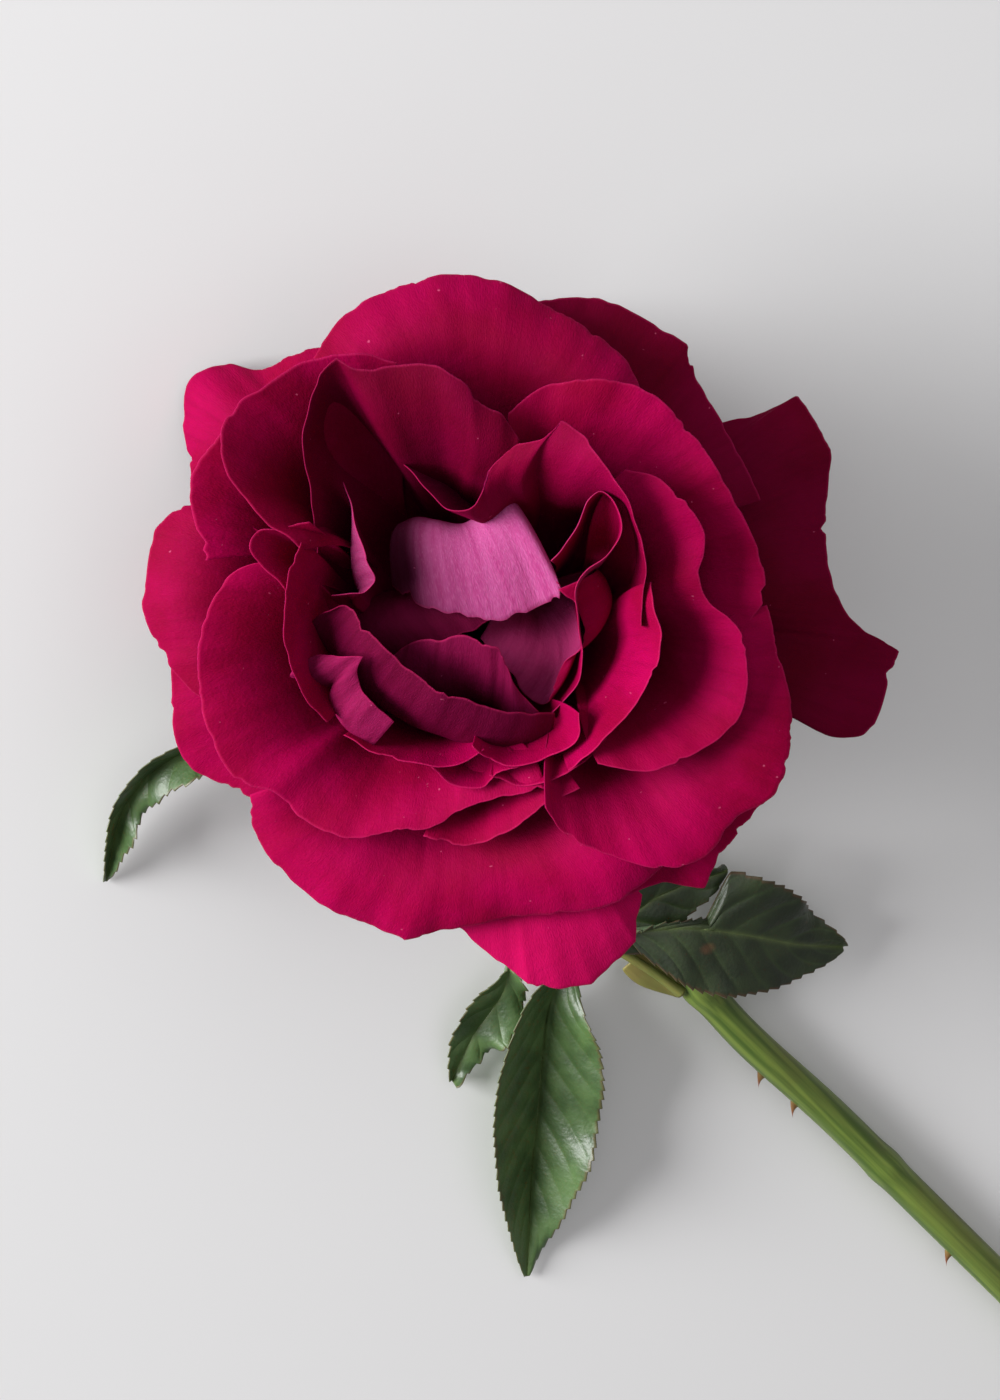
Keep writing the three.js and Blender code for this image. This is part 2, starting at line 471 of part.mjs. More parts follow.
// The bloom rests on its lowest petals.
const turned = pieces.map((piece) => piece.solid.transform(bloom.matrix.elements));
bloom.position.z = -Math.min(...turned.map((solid) => solid.boundingBox().min[2]));
bloom.updateMatrix();
for (let k = 0; k < settled.length; k++) settled[k] = settled[k].transform(bloom.matrix.elements);

// ---- stem, in the table's frame --------------------------------------------------------------
const axis = new THREE.Vector3(0, 0, 1).transformDirection(bloom.matrix);
const neck = new THREE.Vector3(0, 0, -RECEPTACLE_LENGTH - 2 * GAP).applyMatrix4(bloom.matrix);
const bendFoot = neck.z * BEND_FOOT_SHARE;
const nodeHeight = THREE.MathUtils.lerp(bendFoot, STEM_RADIUS, NODE_REACH / STEM_REACH);

function stemCurve() {
  const points = [neck];
  const bend = 90 - BLOOM_TILT;
  for (const share of BEND_STEPS) {
    const turnedBy = rad(bend * (1 - share));
    points.push(new THREE.Vector3(
      0,
      neck.y - axis.y - NECK_BEND_RADIUS * (Math.sin(rad(bend)) - Math.sin(turnedBy)),
      neck.z - axis.z - NECK_BEND_RADIUS * (Math.cos(turnedBy) - Math.cos(rad(bend))),
    ));
  }
  points.push(new THREE.Vector3(-STEM_OFFSET, -NODE_REACH, nodeHeight));
  const pastNode = -NODE_REACH - STRAIGHT_AFTER_NODE;
  points.push(new THREE.Vector3(-STEM_OFFSET, pastNode, (nodeHeight + STEM_RADIUS) / 2));
  points.push(new THREE.Vector3(-STEM_OFFSET, -STEM_REACH, STEM_RADIUS + CLEAR_OF_TABLE));
  return curveThrough(points);
}

const stemLine = stemCurve();
function stemRadius(share) {
  return THREE.MathUtils.lerp(NECK_RADIUS, STEM_RADIUS, Math.min(1, share / NECK_SHARE));
}

// The share of the way along the stem at which it passes a given distance behind the bloom's axis.
function shareAt(reach) {
  let [low, high] = [0, 1];
  for (let k = 0; k < HALVINGS; k++) {
    const middle = (low + high) / 2;
    if (stemLine.getPointAt(middle).y > -reach) low = middle;
    else high = middle;
  }
  return low;
}

// A prickle stands on the stem and hooks toward the cut end.
function prickle([reach, azimuth]) {
  const share = shareAt(reach);
  const outward = new THREE.Vector3(Math.cos(rad(azimuth)), 0, Math.sin(rad(azimuth)));
  const pointing = outward.clone().add(new THREE.Vector3(0, -PRICKLE_HOOK, 0)).normalize();
  const cone = new THREE.ConeGeometry(PRICKLE_RADIUS, PRICKLE_LENGTH, PRICKLE_FACETS);
  cone.translate(0, PRICKLE_LENGTH / 2, 0);
  const upright = new THREE.Vector3(0, 1, 0);
  cone.applyQuaternion(new THREE.Quaternion().setFromUnitVectors(upright, pointing));
  const sunk = stemRadius(share) * PRICKLE_ROOT;
  const root = stemLine.getPointAt(share).addScaledVector(outward, sunk);
  cone.translate(root.x, root.y, root.z);
  return solidOf(cone);
}

// The cut takes the last of the stem off at a slant.
function cutBlock(margin) {
  const side = CUT_BLOCK_SIDE * STEM_RADIUS;
  const block = new THREE.BoxGeometry(side, side, side);
  block.translate(0, -side / 2, 0);
  block.rotateX(rad(-CUT_SLANT));
  block.translate(-STEM_OFFSET, -STEM_REACH + 2 * STEM_RADIUS - margin, STEM_RADIUS);
  return solidOf(block);
}

function stem(margin) {
  let solid = tube(stemLine, (share) => stemRadius(share) + margin, STEM_STEPS, STEM_FACETS);
  for (const place of PRICKLES) solid = solid.add(prickle(place));
  return solid.subtract(cutBlock(margin));
}

// ---- leaves ----------------------------------------------------------------------------------
// Width of a blade along its midrib, 0 to 1: a short stalk, broad below the middle, then a point.
function bladeShape(t) {
  const share = Math.max(0, (t - LEAFLET_STALK_SHARE) / (1 - LEAFLET_STALK_SHARE));
  return Math.sin(Math.PI * share ** BLADE_SKEW) ** BLADE_FULLNESS;
}

function leafletGrid({ midrib, width, fold, roll, bitten = 0 }) {
  const line = curveThrough(midrib);
  const sides = [-1, -0.5, 0, 0.5, 1];
  return sides.map((side) => Array.from({ length: LEAF_ROWS }, (_, row) => {
    const t = row / (LEAF_ROWS - 1);
    const forward = line.getTangentAt(t);
    const left = new THREE.Vector3(0, 0, 1).cross(forward).normalize();
    left.applyAxisAngle(forward, rad(-roll));
    const up = forward.clone().cross(left);
    const kept = side > 0 && t < bitten ? BITTEN_REST : 1;
    const half = STALK_RADIUS * STALK_TO_BLADE + (LEAF_SCALE * width / 2) * bladeShape(t) * kept;
    return line.getPointAt(t)
      .addScaledVector(left, side * half * Math.cos(rad(fold)))
      .addScaledVector(up, Math.abs(side) * half * Math.sin(rad(fold)));
  }));
}

// The pair of stipules clasps the foot of the stalk and runs along it as two narrow wings.
function stalk(route, margin, winged) {
  const line = curveThrough(route);
  let solid = tube(line, () => STALK_RADIUS + margin, STALK_STEPS, STALK_FACETS);
  if (winged) {
    const end = STIPULE_LENGTH / line.getLength();
    const grid = [-1, 0, 1].map((side) => STIPULE_ROWS.map((row) => {
      const forward = line.getTangentAt(row * end);
      const left = new THREE.Vector3(0, 0, 1).cross(forward).normalize();
      return line.getPointAt(row * end).addScaledVector(left, side * STIPULE_WIDTH / 2);
    }));
    solid = solid.add(sheet(grid, LEAF_THICKNESS + 2 * margin, margin));
  }
  return solid;
}

const table = new THREE.Group();
keep(table, "stem", settle(stem(0), stem(GAP)), STEM_GREEN);
const leafStalk = settle(stalk(STALK_ROUTE, 0, true), stalk(STALK_ROUTE, GAP, true));
const sideFoot = stemLine.getPointAt(shareAt(SIDE_STALK_REACH));
sideFoot.add(new THREE.Vector3(SIDE_STALK_BESIDE, 0, SIDE_STALK_ABOVE));
const sideRoute = [sideFoot, ...SIDE_STALK_ROUTE];
const sideStalk = settle(stalk(sideRoute, 0), stalk(sideRoute, GAP));
keep(table, "leaf_stalk", leafStalk, STEM_GREEN);
keep(table, "side_stalk", sideStalk, STEM_GREEN);
for (const leaflet of LEAFLETS) {
  const grid = leafletGrid(leaflet);
  const grown = sheet(grid, LEAF_THICKNESS + 2 * GAP, GAP);
  keep(table, leaflet.name, settle(sheet(grid, LEAF_THICKNESS), grown), LEAF_GREEN);
}

// ---- the whole rose, centred over its own footprint on the table ------------------------------
const rose = new THREE.Group();
rose.add(bloom, table);
for (const { parent, name, solid, material } of pieces) {
  const mesh = new THREE.Mesh(geometryOf(solid), material);
  mesh.name = name;
  parent.add(mesh);
}
rose.updateMatrixWorld(true);
const extent = new THREE.Box3().setFromObject(rose, true);
const centre = extent.getCenter(new THREE.Vector3());
rose.position.set(-centre.x, -centre.y, -extent.min.z);
rose.updateMatrixWorld(true);

export default rose;
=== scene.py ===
# %% [markdown]
# # A cut garden rose, petal by petal
# The rose lies on a pale table with its wide open bloom facing up. The solid model already says where
# every petal, leaf and the stem is. This lesson makes the surfaces that are seen: thin petals with
# rippled rims and veins, toothed leaflets, a prickly stem, and the light that brings them out.

# %% Load the frame
import math
import bpy
import numpy as np
from mathutils import Matrix, Vector


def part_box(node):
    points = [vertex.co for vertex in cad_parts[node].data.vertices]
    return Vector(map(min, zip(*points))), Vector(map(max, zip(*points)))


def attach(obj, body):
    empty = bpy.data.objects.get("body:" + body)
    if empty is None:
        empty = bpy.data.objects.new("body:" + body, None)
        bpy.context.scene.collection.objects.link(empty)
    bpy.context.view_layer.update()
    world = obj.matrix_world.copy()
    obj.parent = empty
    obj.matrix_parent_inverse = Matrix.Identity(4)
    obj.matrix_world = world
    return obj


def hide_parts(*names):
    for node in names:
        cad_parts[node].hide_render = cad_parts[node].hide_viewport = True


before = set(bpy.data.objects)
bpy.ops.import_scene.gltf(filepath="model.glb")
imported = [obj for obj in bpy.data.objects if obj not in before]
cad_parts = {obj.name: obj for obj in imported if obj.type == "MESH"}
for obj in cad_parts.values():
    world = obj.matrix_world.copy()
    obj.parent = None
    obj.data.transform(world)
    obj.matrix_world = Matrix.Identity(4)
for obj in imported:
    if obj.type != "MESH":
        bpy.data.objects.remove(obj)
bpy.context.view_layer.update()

# %% [markdown]
# ## Two frames
# A flower is easiest to draw looking straight down its own axis, but this one leans. So everything
# in the bloom is worked out in the bloom's frame, in millimetres with the axis as +Z, and one
# function carries it into the frame of the table. The alternative, drawing each petal tilted,
# would hide the round order that petals follow.

# %% From the bloom's frame to the table's
MM = 0.001
BLOOM_TILT = math.radians(25)
BLOOM_TURN = math.radians(45)
RECEPTACLE_RADIUS = 7.8
RECEPTACLE_DOME = 4.4
RECEPTACLE_LENGTH = 10.0
RECEPTACLE_SIDE = ((0.48, 0.9), (0.7, 0.68), (0.76, 0.42), (0.94, 0.16))    # shares: out, down
CLAW_INNER_RADIUS = 2.2
CLAW_OUTER_RADIUS = 7.4
NECK_RADIUS = 2.0
STEM_RADIUS = 2.8

TO_TABLE = np.array(Matrix.Rotation(-BLOOM_TILT, 3, "X") @ Matrix.Rotation(-BLOOM_TURN, 3, "Z"))
BLOOM_ORIGIN = np.zeros(3)


def from_bloom(points):
    """Turns points of the bloom's frame by its lean and turn, and moves them to its place: metres."""
    return (np.asarray(points) @ TO_TABLE.T + BLOOM_ORIGIN) * MM


def dome_height(radius):
    """Height of the receptacle's domed top: a parabola, highest on the axis and 0 at its rim."""
    return RECEPTACLE_DOME * (1 - (radius / RECEPTACLE_RADIUS) ** 2)


def receptacle_profile():
    """Radius and height of the receptacle from the stem up over its widest place to the top."""
    low = [(NECK_RADIUS, -RECEPTACLE_LENGTH)]
    low += [(out * RECEPTACLE_RADIUS, -down * RECEPTACLE_LENGTH) for out, down in RECEPTACLE_SIDE]
    dome = np.linspace(RECEPTACLE_RADIUS, 0.0, 7)
    return np.vstack([low, np.stack([dome, dome_height(dome)], axis=1)])


def ring(profile, sides):
    """Carries a profile (radius, height) once round the axis: radius*cos, radius*sin, height."""
    turn = np.linspace(0, 2 * np.pi, sides, endpoint=False)
    radius, height = profile[:, 0], profile[:, 1]
    return np.stack([np.outer(np.cos(turn), radius), np.outer(np.sin(turn), radius),
                     np.tile(height, (sides, 1))], axis=-1)


solid_low = np.array(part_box("receptacle")[0]) / MM
drawn_low = (ring(receptacle_profile(), 16).reshape(-1, 3) @ TO_TABLE.T).min(axis=0)
BLOOM_ORIGIN = solid_low - drawn_low
TABLE_ORIGIN = np.array([BLOOM_ORIGIN[0], BLOOM_ORIGIN[1], 0.0])
print("bloom origin, mm:", BLOOM_ORIGIN.round(2))


def from_table(points):
    """Moves points given about the bloom's foot on the table to their place: metres."""
    return (np.asarray(points) + TABLE_ORIGIN) * MM

# %% [markdown]
# ## The camera
# The flower faces the camera: the camera stands on the bloom's axis, a little below its middle, so
# that the stem runs out of the frame at the lower right. A lens of moderate length keeps the near
# petals from swelling. Building its matrix from the bloom's own axes is simpler than aiming it.

# %% Camera on the bloom's axis
VIEW_CENTRE = np.array([2.8, -12.6, 30.0])
VIEW_DISTANCE = 600.0
VIEW_HEIGHT = 196.0
SENSOR = 36.0

camera = bpy.data.objects.new("camera", bpy.data.cameras.new("camera"))
bpy.context.collection.objects.link(camera)
camera.data.sensor_fit = "VERTICAL"
camera.data.sensor_height = SENSOR
camera.data.lens = SENSOR * VIEW_DISTANCE / VIEW_HEIGHT
seen_from = from_bloom(VIEW_CENTRE + (0, 0, VIEW_DISTANCE))
placing = Matrix(TO_TABLE.tolist()).to_4x4()
placing.translation = Vector(seen_from)
camera.matrix_world = placing
bpy.context.scene.camera = camera
print("camera at", np.round(seen_from, 3), "lens", round(camera.data.lens, 1))

# %% [markdown]
# ## Smooth lines through a few points
# A rim is drawn with only as many points as its shape needs. A Catmull-Rom curve passes through all
# of them and keeps corners soft. Bezier handles would need two more points for each one drawn.

# %% Curve through points
def lengths_along(line):
    """The length of a line of points up to each of them."""
    return np.concatenate([[0], np.cumsum(np.linalg.norm(np.diff(line[:, :3], axis=0), axis=1))])


def smooth_line(points, shares):
    """Catmull-Rom curve: for each share of the chord length, the cubic of its four nearest points,
    with knots spaced by the square root of each chord so that close points make no loops."""
    points = np.asarray(points, float)
    padded = np.vstack([2 * points[0] - points[1], points, 2 * points[-1] - points[-2]])
    chords = np.linalg.norm(np.diff(padded[:, :3], axis=0), axis=1)
    knots = np.concatenate([[0], np.cumsum(np.sqrt(chords))])
    along = np.concatenate([[0], np.cumsum(chords[1:-1])]) / chords[1:-1].sum()
    span = np.clip(np.searchsorted(along, shares, side="right") - 1, 0, len(points) - 2)
    part = (shares - along[span]) / (along[span + 1] - along[span])
    k0, k1, k2, k3 = (knots[span + i] for i in range(4))
    p0, p1, p2, p3 = (padded[span + i] for i in range(4))
    at = k1 + part * (k2 - k1)

    def between(a, b, ka, kb):
        return a * ((kb - at) / (kb - ka))[:, None] + b * ((at - ka) / (kb - ka))[:, None]

    a1, a2, a3 = between(p0, p1, k0, k1), between(p1, p2, k1, k2), between(p2, p3, k2, k3)
    b1, b2 = between(a1, a2, k0, k2), between(a2, a3, k1, k3)
    return between(b1, b2, k1, k2)

# %% [markdown]
# ## From a surface to a closed skin
# A petal is thin but not a mere sheet: its rim catches the light as a fine pale line, and from
# behind it shows its other face. A Solidify modifier could thicken a sheet evenly, but a petal is
# fleshy at its foot and paper-thin at its rim, so the skin is built here with a thickness of its own
# at every point, and a rounded lip that closes it all the way round.

# %% Closed skin round a grid of points
def directions(grid):
    """Unit vectors of a grid: along its rows, across its columns, and square to both (the face)."""
    across, along = np.gradient(grid, axis=0), np.gradient(grid, axis=1)
    face = np.cross(along, across)
    return [v / np.maximum(np.linalg.norm(v, axis=-1, keepdims=True), 1e-9)
            for v in (along, across, face)]


def skin(grid, thickness):
    """Front = grid + half the thickness along its face, back = grid - the same, and a lip that
    stands half the thickness out from the edge between them. Returns points and four-sided faces."""
    columns, rows = grid.shape[:2]
    along, across, face = directions(grid)
    offset = face * (thickness / 2)[..., None]
    number = np.arange(columns * rows).reshape(columns, rows)
    edge = np.concatenate([number[0, :-1], number[:-1, -1], number[-1, :0:-1], number[:0:-1, 0]])
    out = np.zeros_like(grid)
    out[0] -= across[0]
    out[-1] += across[-1]
    out[:, 0] -= along[:, 0]
    out[:, -1] += along[:, -1]
    lip = (grid + out * (thickness / 2)[..., None]).reshape(-1, 3)[edge]
    points = np.vstack([(grid + offset).reshape(-1, 3), (grid - offset).reshape(-1, 3), lip])
    a, b = number[:-1, :-1].ravel(), number[:-1, 1:].ravel()
    c, d = number[1:, 1:].ravel(), number[1:, :-1].ravel()
    back, mid = columns * rows, 2 * columns * rows
    here = np.arange(len(edge))
    after = np.roll(here, -1)
    faces = np.vstack([
        np.stack([a, b, c, d], axis=1),
        np.stack([a, d, c, b], axis=1) + back,
        np.stack([edge[after], edge[here], mid + here, mid + after], axis=1),
        np.stack([mid + after, mid + here, back + edge[here], back + edge[after]], axis=1),
    ])
    return points, faces.tolist(), edge


REVERSE = (1.0, 0.0, 0.0, 0.0)      # added to the paint of a skin's back


def on_skin(values, edge, behind=0.0):
    """Values for every point of a skin: the front's, the same plus behind, and at the lip halfway."""
    front = values.reshape(-1, values.shape[-1])
    back = front + behind
    return np.vstack([front, back, (front[edge] + back[edge]) / 2])


def piece(name, points, faces, material, node, paint, uv=None):
    """Puts points (metres) and faces into a mesh, with four paint numbers and a uv for each point,
    and says which solid node it stands for."""
    mesh = bpy.data.meshes.new(name)
    mesh.from_pydata(points.tolist(), [], faces)
    mesh.polygons.foreach_set("use_smooth", np.ones(len(mesh.polygons), bool))
    layer = mesh.attributes.new("paint", "FLOAT_COLOR", "POINT")
    layer.data.foreach_set("color", np.ascontiguousarray(paint, np.float32).ravel())
    if uv is not None:
        corner = np.empty(len(mesh.loops), np.int32)
        mesh.loops.foreach_get("vertex_index", corner)
        mesh.uv_layers.new(name="UVMap").uv.foreach_set("vector", uv[corner].astype(np.float32).ravel())
    mesh.materials.append(material)
    mesh.update()
    made = bpy.data.objects.new(name, mesh)
    bpy.context.collection.objects.link(made)
    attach(made, "root")
    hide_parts(node)
    print("made", node, "with", len(faces), "faces")

# %% [markdown]
# ## Mixing materials
# Every finish here is a Principled shader with a few nodes in front of it. Such a tree can be laid
# out by hand in the shader editor; written down it is long, so these helpers save typing: one adds
# a node, one fills or links a socket, one reads the paint, and one sets the shader itself.

# %% Node helpers
class Nodes:
    """A material's node tree, with a short way to add a node, fill its sockets and link it."""

    def __init__(self, name):
        self.material = bpy.data.materials.new(name)
        self.material.use_nodes = True
        self.tree = self.material.node_tree
        self.shader = self.tree.nodes["Principled BSDF"]

    def add(self, kind, settings=None, **sockets):
        node = self.tree.nodes.new("ShaderNode" + kind)
        for key, value in (settings or {}).items():
            setattr(node, key, value)
        for key, value in sockets.items():
            self.fill(node, key, value)
        return node

    def fill(self, node, key, value):
        socket = node.inputs[int(key[1:]) if key[0] == "_" else key.replace("_", " ")]
        if isinstance(value, bpy.types.NodeSocket):
            self.tree.links.new(value, socket)
        else:
            socket.default_value = value

    def paint(self):
        layer = self.add("Attribute", dict(attribute_name="paint"))
        parts = self.add("SeparateColor", Color=layer.outputs["Color"])
        return (*parts.outputs[:3], layer.outputs["Alpha"])

    def finish(self, **sockets):
        for key, value in sockets.items():
            self.fill(self.shader, key, value)

    def math(self, operation, a, b=0.0):
        return self.add("Math", dict(operation=operation), _0=a, _1=b).outputs[0]

    def mix(self, factor, a, b):
        node = self.add("Mix", dict(data_type="RGBA"))
        self.fill(node, "_0", factor)
        self.fill(node, "_6", a)
        self.fill(node, "_7", b)
        return node.outputs[2]

    def ramp(self, value, low, high, to_low=0.0, to_high=1.0):
        node = self.add("MapRange", dict(interpolation_type="SMOOTHSTEP"))
        for place, number in enumerate((value, low, high, to_low, to_high)):
            self.fill(node, "_%d" % place, number)
        return node.outputs[0]

    def noise(self, vector, scale, detail=3.0, stretch=None):
        if stretch is not None:
            vector = self.add("Mapping", _0=vector, _3=stretch).outputs[0]
        return self.add("TexNoise", Vector=vector, Scale=scale, Detail=detail).outputs[0]


def colour(red, green, blue):
    """The linear colour of three screen values from 0 to 255."""
    screen = np.array([red, green, blue]) / 255
    linear = np.where(screen <= 0.04045, screen / 12.92, ((screen + 0.055) / 1.055) ** 2.4)
    return (*linear, 1.0)

# %% [markdown]
# ## Petal velvet
# The face of each petal is a rich, dark crimson velvet and its back a paler, cooler mauve. Fine veins
# fan from the foot to the rim, the thin rim is a little lighter, partly as painted highlight where it
# catches the light, and tiny pale dots are painted glints of the velvet. Painted shade darkens petals
# in shadow and toward the foot, and painted light brightens a few toward pink. The colours could be
# painted as textures; here each point of the skin carries four numbers (which face it is on, how near
# the rim, how much painted shade, below zero painted light, and how mauve the petal's reverse is) and
# nodes mix from them, so the pattern follows the petal however it bends.

# %% Petal material
def petal_velvet():
    """Crimson or mauve by face, with painted shade and light, veins, hairs and painted glints."""
    n = Nodes("petal_velvet")
    reverse, rim, painted_shading, mauve = n.paint()
    uv = n.add("UVMap", dict(uv_map="UVMap")).outputs[0]
    place = n.add("TexCoord").outputs["Object"]
    veins = n.noise(uv, 9.0, 6.0, stretch=(9.0, 1.0, 1.0))
    hairs = n.noise(uv, 90.0, 4.0, stretch=(5.0, 1.6, 1.0))
    clouds = n.noise(place, 70.0, 4.0)
    painted_glints = n.noise(place, 1100.0, 1.0)
    face = n.mix(n.ramp(clouds, 0.3, 0.7), colour(120, 0, 40), colour(144, 0, 61))
    face = n.mix(n.ramp(veins, 0.45, 0.75, 0.0, 0.22), face, colour(92, 0, 28))
    pale = n.mix(n.ramp(veins, 0.35, 0.8), colour(178, 78, 136), colour(158, 52, 112))
    pale = n.mix(n.ramp(hairs, 0.45, 0.75, 0.0, 0.35), pale, colour(206, 116, 166))
    dusky = n.mix(n.ramp(veins, 0.35, 0.8), colour(128, 4, 62), colour(100, 1, 44))
    tone = n.mix(reverse, face, n.mix(mauve, dusky, pale))
    # painted shade: wine red where a petal lies in shadow and toward its foot
    tone = n.mix(painted_shading, tone, colour(48, 0, 14))
    # painted light: below zero the paint brightens a petal toward pink
    tone = n.mix(n.ramp(painted_shading, -0.5, 0.0, 1.0, 0.0), tone, colour(182, 10, 82))
    # the thin rim a little lighter, partly painted highlight where it catches the light
    tone = n.mix(n.ramp(rim, 0.4, 1.0, 0.0, 0.22), tone, colour(190, 40, 96))
    # painted glints: tiny pale dots where the velvet sparkles
    tone = n.mix(n.ramp(painted_glints, 0.78, 0.82, 0.0, 0.3), tone, colour(226, 110, 150))
    n.finish(Base_Color=tone, Roughness=n.ramp(hairs, 0.2, 0.8, 0.6, 0.75), Specular_IOR_Level=0.03,
             Sheen_Weight=0.06, Sheen_Roughness=0.35, Sheen_Tint=colour(255, 0, 130),
             Subsurface_Weight=0.1, Subsurface_Radius=(1.0, 0.1, 0.3), Subsurface_Scale=0.001)
    crinkle = n.noise(place, 420.0, 5.0)
    relief = n.math("ADD", n.math("MULTIPLY", veins, 0.3), n.math("MULTIPLY", hairs, 0.5))
    relief = n.math("ADD", relief, n.math("MULTIPLY", crinkle, 0.8))
    n.finish(Normal=n.add("Bump", Strength=0.55, Distance=0.0004, Height=relief).outputs[0])
    return n.material


PETAL_VELVET = petal_velvet()
print("petals wear", PETAL_VELVET.name)

# %% [markdown]
# ## The petals
# Each petal starts as a narrow claw on the receptacle and ends in its rim. Between the two run
# cubic curves, one for every place along the rim: they leave the claw at one slope and reach the rim
# at another, which is all it takes to make a petal stand, cup, arch over the heart or roll down.
# Modelling thirty-five petals by hand, or bending one petal thirty-five ways, would not give rims
# that fit round each other as these do. The rims are listed from the heart outward.

